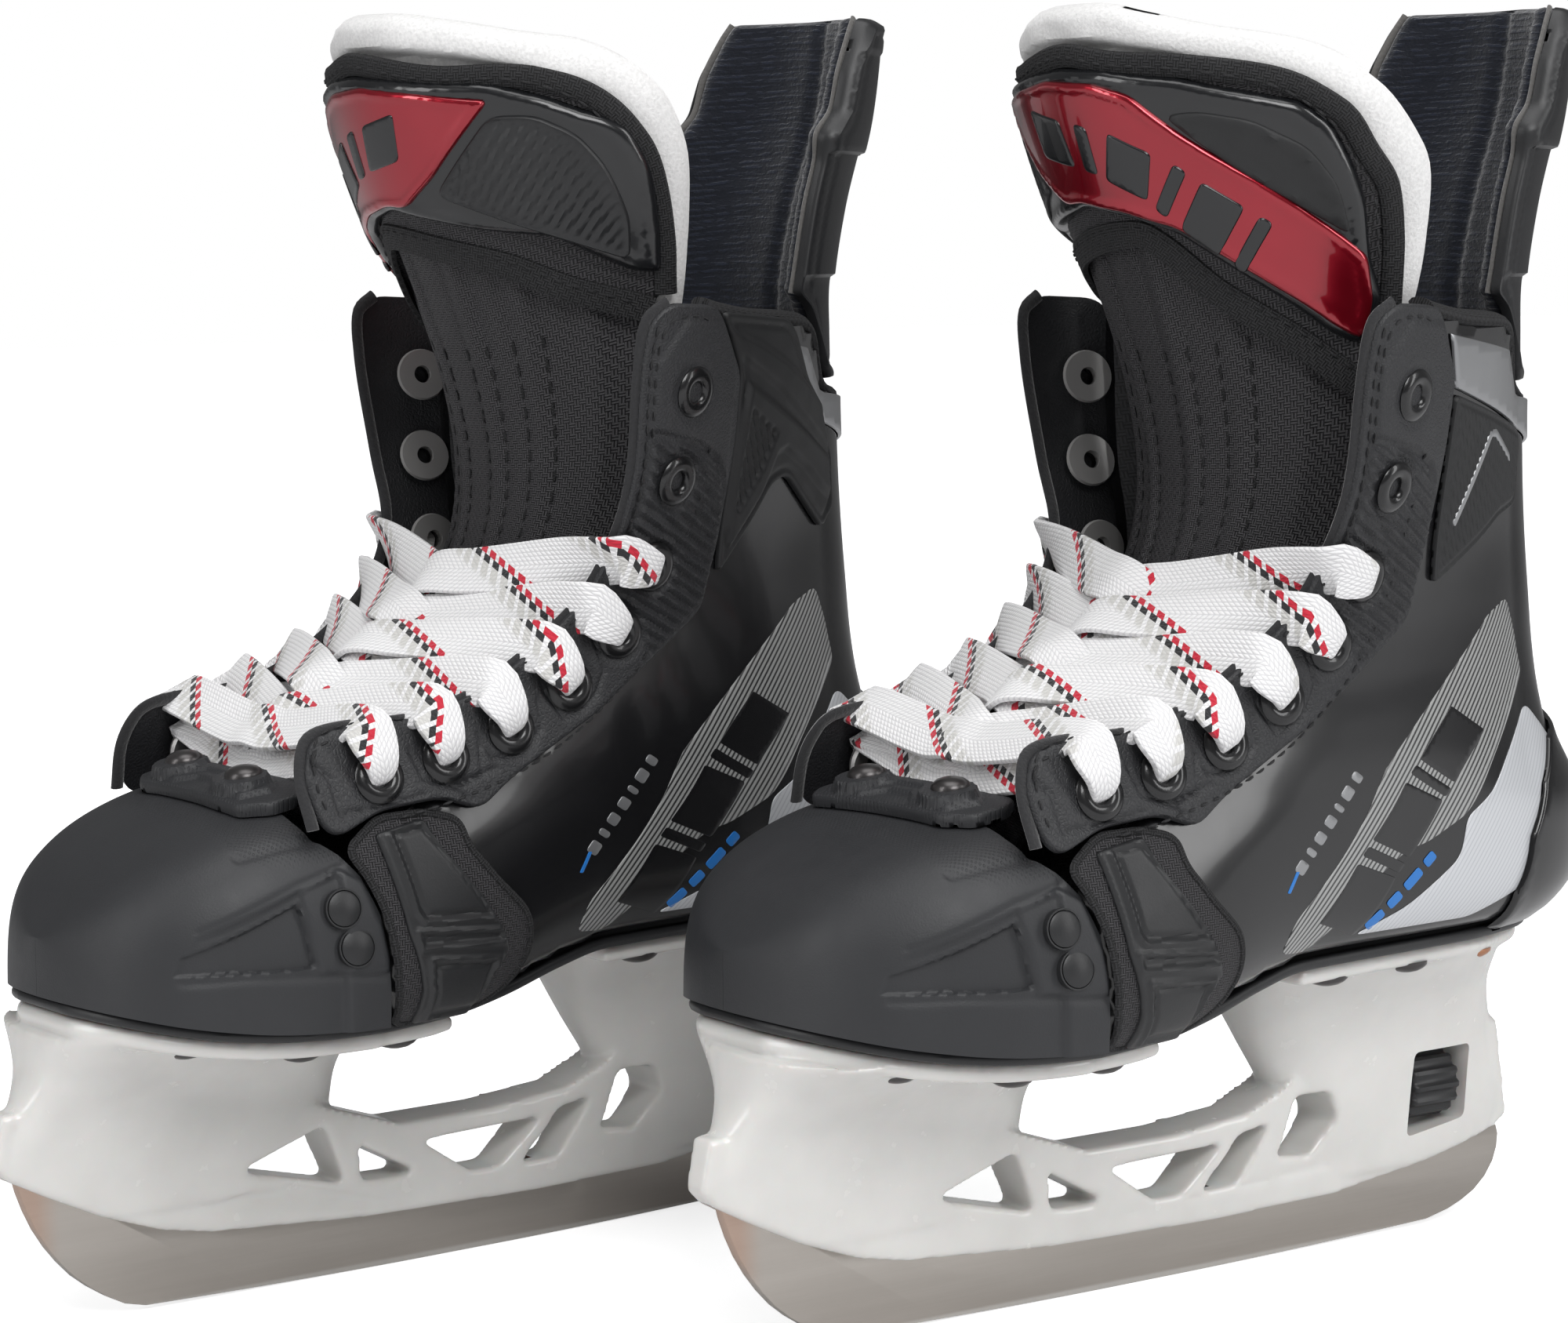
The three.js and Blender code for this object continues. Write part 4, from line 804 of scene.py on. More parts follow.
def collar_piping():
    """The rolled binding that closes shell and liner along the collar."""
    points = smooth_line(mapped([[x, z - 0.9] for x, z in COLLAR] + [[-130, 187.2]]), 90)
    both = np.vstack([points, points[-2::-1] * (-1, 1)])
    path = lifted(boot, both[:, 0], both[:, 1], np.full(len(both), -2.6))
    return tube(path, oval(3.0, 1.7, 12), normals(boot, both[:, 0], both[:, 1]) * 0.3 + (0, 0, 1))


# ---------------------------------------------------------------- facings
THROAT = [[59.5, 103.5], [60, 114], [57, 120.5], [51, 122.6], [30, 124], [16, 129], [2, 138], [-8, 148],
          [-13, 160], [-13.5, 175], [-12.5, 196], [-13.5, 205], [-18, 208.5]]
FACING_SEAM = [[44, 106], [30, 107.5], [21, 104.5], [13, 110], [-10, 122.5], [-23, 132], [-38, 142.5], [-42, 158],
               [-43, 180], [-42.5, 193], [-34, 205.5]]
FACING_LINE = [[54.5, 101.5], [58.2, 104.4]] + THROAT[1:] + [[-31, 207.8]] + FACING_SEAM[::-1]


def depth_in(p, q, outline):
    """Distance inside an outline of surface points, negative outside."""
    points = np.column_stack([p, q])
    outline = np.asarray(outline, float)
    return distance_to(points, outline) * np.where(inside(points, outline), 1, -1)


def groove(p, q, line, width=0.9, depth=0.35):
    """A pressed line: negative height near a line of surface points."""
    near = distance_to(np.column_stack([p, q]), np.asarray(line, float), closed=False)
    return -depth * np.exp(-(near / width) ** 2)


RIBBED_ZONE = [[-16.5, 181], [-29, 178.5], [-36.4, 175], [-40.5, 169], [-41.5, 163], [-40.5, 150], [-38, 144.5],
               [-24, 134], [-18, 143], [-13, 149], [-15.5, 160], [-16.4, 171.4]]
TOP_FIELD = [[-22.4, 205], [-33, 204.6], [-37.6, 201.2], [-40.5, 192], [-40.3, 182], [-41, 171], [-36.4, 176.2],
             [-29, 179.8], [-16.5, 182.4], [-15.4, 196]]
LOWER_LINES = [[[57.2, 116], [54.2, 113], [53.2, 105.8], [34, 108.2]], [[22.6, 105.6], [26.5, 109.4], [16.4, 112.6]],
               [[35.7, 117], [33.5, 111.5], [27, 109.8], [20, 111.5], [19.6, 117.5]],
               [[19.6, 119.5], [17, 114.5], [9, 115.5], [4.5, 120], [4.6, 126]],
               [[3, 127.5], [-1, 121.5], [-9, 125.5], [-11.5, 131], [-9, 139]]]


def facing_relief(p, q, d):
    """Pressed lines round the lower eyelets, slanting ribs beside the upper ones, and a framed field at the top."""
    height = groove(p, q, mapped([[x - 2.2, z + 1.6] for x, z in THROAT[1:-1]]), 0.5, 0.25)
    for line in LOWER_LINES:
        height = height + groove(p, q, mapped(line), 0.55, 0.5)
    zone = depth_in(p, q, mapped(RIBBED_ZONE))
    away = np.min([np.hypot(p - a, q - z) for a, z in mapped(EYELETS)], axis=0)
    ribs = 0.5 - 0.5 * np.cos((q * 0.88 - p * 0.48) * 2 * math.pi / 2.6)
    height = height + 0.9 * ribs * smoothstep(0, 0.9, zone) * smoothstep(5.6, 6.6, away)
    height = height - 0.4 * np.exp(-((zone + 0.6) / 0.6) ** 2)
    top = depth_in(p, q, mapped(TOP_FIELD))
    height = height + 0.5 * smoothstep(-0.4, 0.8, top) - 0.35 * smoothstep(7.4, 5.8, away)
    return height * smoothstep(0.3, 1.5, d)


def facing():
    return side_panel(FACING_LINE, 0.9, 2.5, 0.6, 0.5, facing_relief, radius=3)


def facing_edge():
    """The cut, fuzzy edge of the facing's felt core, seen along the throat."""
    line = smooth_line(mapped(THROAT), 110)
    path = lifted(boot, line[:, 0], line[:, 1], np.full(len(line), 0.75))
    return tube(path, oval(1.5, 0.8, 10), normals(boot, line[:, 0], line[:, 1]))


def facing_stitches():
    rows = [smooth_line(mapped(eyelet_line(-8.6)), 120), smooth_line(mapped(THROAT[1:-1]) + (-1.9, 0.2), 120)]
    top = smooth_line(mapped([[-16.5, 179], [-15.8, 199], [-18.5, 205], [-29, 204.8], [-39, 194], [-40.5, 183]]), 60)
    base = smooth_line(mapped([[56, 105], [57.5, 113], [56, 118.5], [51, 120.6]]), 20)
    return join([stitches(line, boot, 2.45) for line in rows + [top, base]])


def eyelets(side):
    """Rolled flanges outside in black, bright washers inside."""
    outer, inner = [], []
    for place in EYELETS:
        a, z = mapped([place])[0]
        centre = lifted(boot, a, z, 0.0)
        axis = normals(boot, np.array(a), np.array(z))
        rolled = [(2.0, -1.2), (2.9, -1.2), (2.9, 2.2), (5.1, 2.25), (5.45, 2.7), (5.1, 3.2), (4.0, 3.6),
                  (2.9, 3.55), (2.25, 3.1), (2.0, 2.4)]
        washer = [(2.0, -3.2), (5.6, -3.2), (5.9, -2.4), (5.4, -1.4), (3.1, -1.0), (2.0, -1.0)]
        outer.append(lathe(rolled, centre, axis))
        inner.append(lathe(washer, centre, axis))
    return join(outer if side == "outer" else inner)


# ---------------------------------------------------------------- overlays of the quarter and the forefoot
WRAP = [[41.3, 62.7], [44.1, 77], [45.8, 86], [49.2, 94], [52.8, 99], [45, 104.6], [34, 105], [26.5, 103], [25, 97.5],
        [18.4, 89.8], [10.9, 82.8], [9.4, 77], [11, 71], [16, 66], [21, 62.9], [32, 62.6]]
WRAP_RAISED = [[46.5, 101.6], [35.1, 104], [31.6, 97.8], [18.4, 81.2], [16, 75.4], [18.5, 72.8], [22.9, 63.2],
               [37.6, 63], [37.8, 70.4], [41.4, 81.4]]
WRAP_PLATES = [[[43.4, 102], [35.2, 103], [19.6, 82.8], [37.5, 83.6], [39.2, 85.6]],
               [[39.3, 81.6], [18.5, 80], [17.2, 77.6], [38.6, 78.4]],
               [[36.4, 75.8], [18.9, 74.4], [21.5, 64], [34.8, 64.2], [35, 69]]]
QUARTER_BAND = [[-6.5, 75.3], [-8.5, 81.4], [-34, 111.8], [-51.3, 126], [-70.7, 141], [-80, 144], [-84, 136],
                [-86.5, 127], [-71, 110.9], [-60.8, 99.4], [-48.2, 94.6], [-41.9, 93.7], [-31.3, 87.6], [-15.8, 74.3]]
HEEL_BAND = [[-30, 76.4], [-44, 81.3], [-59, 90], [-60.8, 98.6], [-69, 103], [-86.7, 120.4], [-110, 103.6],
             [-96.7, 92.3], [-84, 81.7], [-66, 76.2]]
ANKLE_PAD = [[-46.7, 189.2], [-85, 179.8], [-86.5, 175.9], [-83.3, 163.6], [-72.9, 161.7], [-64.3, 157.1], [-48, 148.9]]
MEDIAL_PANEL = [[-35.5, 206.3], [-61, 204.3], [-65, 201.5], [-72.5, 190.8], [-80, 185.5], [-87.5, 173], [-88, 161],
                [-82.3, 156.5], [-73.3, 163.5], [-65.5, 169.8], [-60.3, 168.3], [-53.8, 160], [-43.7, 149.2],
                [-43.9, 162], [-44.6, 180], [-44.2, 193]]
CHEVRONS = [[[-37.4, 203], [-49.9, 199.4], [-62.2, 194.4], [-79.6, 185.4], [-86.9, 166.8], [-85.7, 171.6],
             [-78.9, 176.8], [-58.7, 189.4], [-42.2, 197.2]],
            [[-47.2, 191], [-62.8, 183.6], [-84.1, 172.8], [-85.6, 163.4], [-79.8, 166.4], [-72.8, 171.2],
             [-63.2, 176], [-60.3, 175], [-56, 166.5], [-46.5, 155], [-44.9, 160], [-45.2, 172.4], [-45.6, 184.6]]]
RIB_FIELD = [[-48.2, 186], [-59.2, 180.2], [-55, 172], [-48.2, 163], [-46.6, 163], [-46.8, 172]]
ANKLE_LINE = [[-53.4, 161], [-64.8, 179.4], [-66.8, 179.2], [-77.1, 173.2], [-76.3, 175.2], [-66.4, 181.2],
              [-63.6, 180.6], [-52.2, 162]]
LETTER_BARS = [[-23.5, 78.5], [-31, 88.2], [-46.2, 105.4], [-64.1, 122], [-76.8, 134.2]]


def wrap_relief(p, q, d):
    """Framed plates: the frame stands up, each plate's face is pressed in and rises again inside a groove."""
    height = 0
    for plate in WRAP_PLATES:
        near = depth_in(p, q, mapped(plate))
        height = height + 0.55 * np.exp(-((near + 0.2) / 0.6) ** 2) - 0.4 * np.exp(-((near - 1.1) / 0.5) ** 2)
    return height * smoothstep(0, 1.2, d)


def wrap_gloss():
    return side_panel(WRAP_RAISED, 1.3, 2.4, 0.5, 0.6, wrap_relief, 1.2)


def edge_piping(outline, lift, half, height=0.7, radius=2.5):
    """A thin raised cord along a closed outline on the boot."""
    line = smooth_line(rounded(mapped(outline), radius), 160, closed=True)
    path = lifted(boot, line[:, 0], line[:, 1], np.full(len(line), lift))
    return tube(path, oval(half, height, 8), normals(boot, line[:, 0], line[:, 1]), closed=True)


def ankle_relief(p, q, d):
    """Fine ribs down the front of the pad, and a pressed rim."""
    run = p * 0.9 - q * 0.42
    ribs = 0.5 - 0.5 * np.cos(run * 2 * math.pi / 1.5)
    return 0.35 * ribs * smoothstep(1.5, 2.5, d) - 0.3 * np.exp(-((d - 1.2) / 0.5) ** 2)


def medial_relief(p, q, d):
    """Two raised chevrons on the inner ankle, the lower one round a field of ribs, inside a pressed rim."""
    height = -0.35 * np.exp(-((d - 2.0) / 0.6) ** 2)
    for outline in CHEVRONS:
        near = depth_in(p, q, mapped(outline))
        height = height + 1.1 * smoothstep(-0.8, 1.2, near)
    field = depth_in(p, q, mapped(RIB_FIELD))
    ribs = 0.5 - 0.5 * np.cos((p * 0.93 - q * 0.37) * 2 * math.pi / 2.1)
    height = height - (1.0 - 0.6 * ribs) * smoothstep(-0.3, 0.9, field)
    return height * smoothstep(0, 2, d)


def slanting_bars(line, widths, height, lean, low, high):
    """Plain slanted bars standing along a side-view line; they stand in for lettering."""
    line = np.asarray(line, float)
    way = np.concatenate([[0], np.cumsum(np.linalg.norm(np.diff(line, axis=0), axis=1))])
    parts, at = [], 0
    for width in widths:
        foot = [np.array([np.interp(s, way, line[:, k]) for k in (0, 1)]) for s in (at, at + width)]
        run = (foot[1] - foot[0]) / np.linalg.norm(foot[1] - foot[0])
        rise = np.array([run[1], -run[0]]) if run[0] < 0 else np.array([-run[1], run[0]])
        tall = (rise + run * lean) * height
        corners = [foot[0] - tall / 2, foot[1] - tall / 2, foot[1] + tall / 2, foot[0] + tall / 2]
        parts.append(side_panel(corners, low, high, 1.2, 0.12, radius=0.8))
        at += width + 1.6
    return join(parts)


# ---------------------------------------------------------------- toe
def toe_share(x):
    return np.clip((np.asarray(x, float) - TOE["rear"]) / (TOE["nose"] - TOE["rear"]), 0, 1)


def toe_half(x):
    return TOE["half"] * np.sqrt(np.maximum(1 - toe_share(x) ** 3.2, 0))


def toe_lean(x):
    return TOE["lean"] * toe_share(x) ** 1.5


def toe_crown(x):
    return hermite(TOE_CROWN[:, 0], TOE_CROWN[:, 1], x)


def toe_top(x, y):
    """The toe form over a plan point; x and y swap with nothing, so it is a form of its own."""
    x, y = np.broadcast_arrays(np.asarray(x, float), np.asarray(y, float))
    side = np.clip(np.abs(y - toe_lean(x)) / np.maximum(toe_half(x), 0.1), 0, 1)
    rise = np.maximum(1 - side ** 4, 0) ** 0.2
    return np.stack([x, y, TOE["base"] + (toe_crown(x) - TOE["base"]) * rise], -1)


def toe_grid(steps_along, steps_across):
    """Points of the toe cap's outer face, rows from the root to the nose, columns from side to side."""
    along = np.linspace(0, 1, steps_along)[:, None]

    def at(x, share):
        lowest = np.maximum((sole_z(x) - TOE["base"]) / (toe_crown(x) - TOE["base"]), 0) ** 2.5
        start = np.arcsin(np.clip(lowest, 0, 1))
        angle = math.pi / 2 - share * (math.pi / 2 - start)
        c, s = np.cos(angle), np.abs(np.sin(angle))
        y = toe_lean(x) + toe_half(x) * np.sign(c) * np.abs(c) ** 0.5
        return np.stack([x + 0 * y, y, TOE["base"] + (toe_crown(x) - TOE["base"]) * s ** 0.4], -1)

    fine = np.linspace(-1, 1, 4001)[None]
    way = np.cumsum(np.linalg.norm(np.diff(at(78.0 + 0 * fine, fine)[0], axis=0), axis=1))
    share = np.interp(np.linspace(0, way[-1], steps_across), np.concatenate([[0], way]), fine[0])[None]
    rear = np.full_like(share, 55.0)
    for _ in range(25):
        rear = 0.5 * rear + 0.5 * np.interp(at(rear, share)[..., 2], TOE_CAP_REAR[:, 0], TOE_CAP_REAR[:, 1])
    return at(rear + (TOE["nose"] - 0.00001 - rear) * np.sin(math.pi / 2 * along) ** 0.9, share)


def grid_normals(points):
    across = np.cross(np.gradient(points, axis=0), np.gradient(points, axis=1))
    across /= np.maximum(np.linalg.norm(across, axis=-1, keepdims=True), 1e-9)
    return across


TOE_RECESS = [[88.5, 80.5], [64.6, 90.0], [61.4, 76.6], [89.6, 76.7]]
TOE_PAD = [[64.0, 92.4], [55.3, 95.7], [50.6, 93], [46.4, 82], [45.3, 74], [60.7, 75.4]]
TOE_CREASES = [[[84.7, 85.3], [64.6, 93.4], [54.2, 96.3]], [[88, 75.6], [76.3, 75.8], [60.7, 74.9], [46, 73.5]],
               [[74, 98.7], [66.7, 100.2], [58, 101.3]]]


def toe_relief(points):
    """A wedge-shaped recess with a facet at its end, a raised pad for the plugs, and sharp creases."""
    x, z = points[..., 0].ravel(), points[..., 2].ravel()
    recess = depth_in(x, z, TOE_RECESS)
    pad = depth_in(x, z, TOE_PAD)
    height = -2.4 * smoothstep(-0.1, 0.5, recess) * np.interp(x, [62, 66, 89], [0.75, 1.0, 0.3])
    height += 0.7 * smoothstep(-0.4, 0.4, pad)
    ridge = groove(x, z, TOE_CREASES[0], 0.7, 0.5) * np.interp(x, [54, 84], [1.2, 0.5])
    shelf = smoothstep(0.2, 1.6, depth_in(x, z, [[86, 84.9], [64.6, 93.2], [54.2, 96.2], [54, 60], [100, 60]]))
    height += ridge - 1.3 * shelf * smoothstep(90, 78, x)
    height += groove(x, z, TOE_CREASES[1], 1.1, 0.4) + groove(x, z, TOE_CREASES[2], 0.8, 0.5)
    side = np.abs(points[..., 1].ravel() - toe_lean(x))
    return (height * smoothstep(22, 27, side)).reshape(points.shape[:2])


def toe_cap():
    points = toe_grid(int(150 / FINE), 2 * int(150 / FINE) + 1)
    out = grid_normals(points)
    if (out[:, out.shape[1] // 2, 2]).mean() < 0:
        out = -out
    outer = points + out * toe_relief(points)[..., None]
    return slab(outer, points - out * TOE["wall"])


def toe_plugs():
    parts = []
    for x, z in ((55.5, 88.1), (53, 80)):
        for side in (1, -1):
            half = toe_half(x) * (1 - ((z - 55) / (toe_crown(x) - 55)) ** 5) ** 0.25
            centre = (x, toe_lean(x) + side * (half + 0.5), z)
            parts.append(lathe([(0.01, -1.5), (3.5, -1.5), (3.55, 0.35), (3.2, 0.6), (0.01, 0.62)],
                               centre, (0.1, side, 0.16), 32))
            parts.append(lathe([(3.75, -1.5), (4.1, -1.5), (4.1, 0.25), (3.75, 0.25)], centre, (0.1, side, 0.16), 32))
    return join(parts)


BRIDGE = [[49.5, -24], [55, -28], [61.5, -28.5], [67, -24], [67, -16], [66, -4], [65.8, 8], [66, 18], [62, 24.5],
          [55, 25], [49.5, 22]]
BRIDGE_BOSS = [[64.5, -21], [65, -9.5], [61, -5], [60.6, 2], [64, 6.5], [63.6, 17.5], [57.5, 20.5], [52.5, 14],
               [53.5, -17], [58.5, -23]]
BRIDGE_RIVETS = [[60, -14.5], [58.8, 12.2]]


def bridge_relief(p, q, d):
    """A stepped plateau that joins the two rivets, with a raised seat round each."""
    boss = depth_in(p, q, BRIDGE_BOSS)
    height = 1.0 * smoothstep(-0.5, 0.5, boss) + 0.8 * smoothstep(2.2, 3.0, boss)
    for x, y in BRIDGE_RIVETS:
        away = np.hypot(p - x, (q - y) * 0.85)
        height = np.maximum(height, 2.6 * smoothstep(5.8, 5.2, away))
    return height * smoothstep(0, 1.2, d)


def toe_bridge():
    plate = panel(rounded(BRIDGE, 2), toe_top, 0.4, 2.9, 0.6 * FINE, 0.8, bridge_relief)
    domes = []
    for x, y in BRIDGE_RIVETS:
        centre = toe_top(x, y) + (0, 0, 5.4)
        dome = [(0.01, -1.5), (4.1, -1.5), (4.1, 0), (3.8, 0.8), (2.9, 1.5), (1.6, 1.9), (0.01, 2.0)]
        domes.append(lathe(dome, centre, (0.1, 0.03 * y / 12, 1)))
    return plate, join(domes)


# ---------------------------------------------------------------- sole
def plan(p, q):
    """Plan points on the sole curve."""
    p, q = np.broadcast_arrays(np.asarray(p, float), np.asarray(q, float))
    return np.stack([p, q, sole_z(p)], -1)


def sole_plan(offset, x0, x1, count=40):
    xs = x0 + (x1 - x0) * (0.5 - 0.5 * np.cos(np.linspace(0, math.pi, count)))
    half = half_width(np.minimum(xs, TOE["rear"]), sole_z(np.minimum(xs, TOE["rear"])) + 0.2)
    toe = toe_half(xs) * 0.89
    sides = [np.where(xs < TOE["rear"], side * half, toe_lean(xs) + side * toe) + side * offset for side in (1, -1)]
    return np.vstack([np.column_stack([xs, sides[0]]), np.column_stack([xs, sides[1]])[::-1]])


def sole_panel(offset, x0, x1, low, high, rim=0.6):
    return panel(sole_plan(offset, x0, x1), plan, low, high, 2.2 * FINE, rim, pad=True)


# ---------------------------------------------------------------- blade holder
FRONT_TOWER = np.array([[22, 38.5, 110.5, 6.0], [30, 35, 111.5, 6.6], [38, 33, 111, 7.6], [46, 32, 107.5, 10.5],
                        [53, 30, 104.5, 17], [58, 28.5, 103.6, 24], [62, 27, 103, 31]])
REAR_TOWER = np.array([[16, -104, -44, 6.0], [28, -106, -40, 7.2], [38, -103.5, -36, 8.4], [48, -100.5, -30, 10.5],
                       [56, -98, -26, 14.5], [62, -97, -24, 19.5], [67.5, -96.5, -23, 24]])
HOLDER_EDGE = [[-106.5, 23], [-102.5, 20.8], [-79, 15.6], [-53, 12], [-19, 11.3], [12, 11.8], [29, 12.3], [64, 15],
               [76, 17.4], [90, 22.4], [102, 28.2], [110, 32.5], [113, 35.5]]
RAIL_TOP = [[111, 46], [60, 46], [36, 38], [30, 36], [18, 32], [-6, 32], [-26, 33.8], [-36, 38], [-50, 46], [-101, 46]]
TRUSS_HOLES = [
    [[58, 27], [37, 34], [31.5, 20.5]],
    [[28.6, 28.8], [27, 20.3], [12, 19.8]],
    [[12.5, 27.2], [-19.5, 28.2], [-8.5, 18.4], [-1, 18.4]],
    [[-24, 29.3], [-33, 31], [-24, 18.4], [-14, 18]],
    [[-40, 35.5], [-49, 36], [-52, 29.5], [-45, 22], [-35.5, 23]]]
WHEEL_POCKET = [[-90, 25], [-72.5, 22.5], [-72.5, 42], [-90, 42]]
SLIDER_ROOM = [[-74, 22.5], [-57, 22.5], [-57, 38.5], [-74, 38.5]]
STEEL_HALF, STEEL_GAP = 1.5, 0.35


def tower(table, count=24, sides=48):
    """A smooth tower through plan ovals given as height, rear x, front x and half-width."""
    zs = np.linspace(table[0, 0], table[-1, 0], count)
    rear, front, half = (hermite(table[:, 0], table[:, k], zs)[:, None] for k in (1, 2, 3))
    angles = np.linspace(0, 2 * math.pi, sides, endpoint=False)[None]
    c, s = np.cos(angles), np.sin(angles)
    x = (rear + front) / 2 + (front - rear) / 2 * np.sign(c) * np.abs(c) ** 0.62
    y = half * np.sign(s) * np.abs(s) ** 0.8
    verts = np.stack([x, y, zs[:, None] + 0 * x], -1)
    index = np.arange(count * sides).reshape(count, sides)
    turned = np.roll(index, -1, 1)
    walls = np.stack([index[:-1], turned[:-1], turned[1:], index[1:]], -1).reshape(-1, 4).tolist()
    return shape(verts, walls + [index[0][::-1].tolist(), index[-1].tolist()])


def rail():
    """The rail along the steel, thinner at its lower edge and drawn in at both ends."""
    outline = resample(np.array(HOLDER_EDGE + RAIL_TOP, float), 3.0)
    body = prism(outline, -1, 1)
    x, z = body.verts[:, 0], body.verts[:, 2]
    half = (4.9 + 1.6 * smoothstep(12, 30, z)) * np.interp(x, [-107, -98, 84, 104, 114], [0.55, 1, 1, 0.7, 0.45])
    return Shape(body.verts * (1, 1, 1) + np.column_stack([0 * x, body.verts[:, 1] * (half - 1), 0 * x]),
                 body.faces, body.surf)


def rocker(x):
    return np.maximum((x * x - 144) / 5480, 0)


def runner_outline(grow=0.0):
    """Side view of the steel. grow widens everything but the glide edge, for the slot it sits in."""
    c = grow
    xs = np.linspace(-84, 78, 40)
    glide = [[x, rocker(x) - (12 if c else 0)] for x in xs]
    front = [[112, -12], [112, 30]] if c else [[83, 2.3], [87, 4.4], [91, 7.0], [94.5, 9.8], [97.7, 13.2],
                                               [100.5, 16.8], [103, 20.8], [105, 25], [106.5, 29], [107.6, 33]]
    lug = [[107.2 + c, 35 + c], [106 + c, 38 + c], [104, 39.6 + c], [102, 40 + c], [98, 39 + c], [95 - c, 34 + c],
           [91 - c, 26 + c], [84 - c, 20.4 + c]]
    top = [[72, 18 + c], [40, 17 + c], [-40, 17 + c], [-57, 19 + c]]
    rear_lug = [[-59.5 + c, 19 + c], [-59.5 + c, 35 + c], [-65 - c, 35 + c], [-65 - c, 19 + c]]
    tail = [[-84, 20 + c], [-97, 20.6 + c], [-103.5, 20.8 + c], [-105.3, 20.1 + c]]
    heel = [[-110, 21], [-110, -12]] if c else [[-105.9, 18], [-105.6, 15], [-104.4, 11.8], [-102, 8.6], [-98.6, 5.9],
                                                [-94.6, 4], [-90.5, 2.6]]
    return glide + front + lug + top + rear_lug + tail + heel


def holder():
    flanges = [sole_panel(-3.2, 23, 100.5, -6.3, -2.35, 1.2), sole_panel(-2.6, -101, -21, -6.3, -2.35, 1.2)]
    towers = []
    for table in (FRONT_TOWER, REAR_TOWER):
        body = tower(table)
        roof = sole_z(body.verts[:, 0]) - 4.2
        foot = np.interp(body.verts[:, 0], *np.array(HOLDER_EDGE).T) + 0.4
        body.verts[:, 2] = np.clip(body.verts[:, 2], foot, roof)
        towers.append(body)
    holes = [prism(rounded(hole, 1.2), -20, 20) for hole in TRUSS_HOLES]
    body = join([cut(part, *holes) for part in [rail()] + towers])
    voxel = 0.72
    body = modified(join([body] + flanges), ("REMESH", {"mode": "VOXEL", "voxel_size": voxel}),
                    ("SMOOTH", {"factor": 0.5, "iterations": 9}))
    slot_half = STEEL_HALF + STEEL_GAP
    tools = [prism(runner_outline(1.2), -slot_half, slot_half), prism(rounded(WHEEL_POCKET, 1.6), -20, 20),
             prism(SLIDER_ROOM, -4, 4), prism([[-93, 30.2], [-89, 30.2], [-89, 35.8], [-93, 35.8]], -2.8, 2.8)]
    return cut(body, *tools)


def runner():
    return modified(prism(runner_outline(), -STEEL_HALF, STEEL_HALF),
                    ("BEVEL", {"width": 0.35, "segments": 2, "limit_method": "ANGLE", "angle_limit": 0.9}))


def lock_wheel():
    """Thumb wheel with rounded ribs."""
    ribs, sides = 14, 14 * 8
    angles = np.linspace(0, 2 * math.pi, sides, endpoint=False)
    wave = np.clip(0.5 + 0.9 * np.cos(angles * ribs), 0, 1)
    length = 13.5
    rows = [(-0.5, -0.9), (-0.47, -0.25), (-0.42, 0), (0.42, 0), (0.47, -0.25), (0.5, -0.9)]
    verts = []
    for at, inset in rows:
        radius = 7.15 + 0.8 * wave + inset
        verts += [(-81 + at * length, r * math.cos(a), 33 + r * math.sin(a)) for r, a in zip(radius, angles)]
    index = np.arange(len(verts)).reshape(len(rows), sides)
    turned = np.roll(index, -1, 1)
    walls = np.stack([index[:-1], turned[:-1], turned[1:], index[1:]], -1).reshape(-1, 4).tolist()
    return shape(verts, walls + [index[0][::-1].tolist(), index[-1].tolist()])


FRONT_RIVETS = [[79, 21], [57, 29.5], [34, 29.5]]
REAR_RIVETS = [[-34, 21.5], [-58, 20.5]]
COPPER_RIVETS = [[-81, 16.5]]


def rivets(places):
    """Domed heads under a flange, with a fine rim."""
    parts = []
    for x, y in places:
        for side in (1, -1):
            centre = (x, side * y, sole_z(x) - 6.3)
            dome = [(0.01, -2.0), (1.6, -1.85), (3.0, -1.45), (4.1, -0.8), (4.75, -0.1), (4.8, 0.6), (0.01, 0.6)]
            parts.append(lathe(dome, centre, (0, 0, 1)))
    return join(parts)
# ---------------------------------------------------------------- tongue
FELT = [[-43, 84], [-47, 105], [-51, 125], [-51, 140], [-50, 153.5], [-48.5, 167], [-45.5, 176], [-39.5, 186],
        [-29, 194], [-14, 199], [0, 199.6], [12, 199.3], [26, 193], [36, 185], [44, 176.5], [48, 166], [51, 153],
        [54, 141], [54.5, 125], [49, 105], [44, 84]]
LOWER = [[-49, 0], [49, 0], [49, 60], [48, 122], [36, 131], [23, 143], [11, 154], [0, 156], [-9, 154], [-22, 147],
         [-34, 138], [-47, 130], [-48, 60]]
COVER = [[-47.5, 125], [-47.2, 134.5], [-46, 146], [-44.5, 157], [-40.5, 169.5], [-32.5, 177], [-19, 180.5],
         [-3.5, 185.5], [3, 186], [11, 183.5], [24, 180], [36.5, 173], [42.5, 163.5], [45, 153], [47.5, 144],
         [49, 131], [49, 118], [45, 112.5], [36.5, 121], [23, 134], [11, 147.5], [4, 149.5], [-7, 147], [-22, 140],
         [-34.5, 130.5], [-44, 123]]
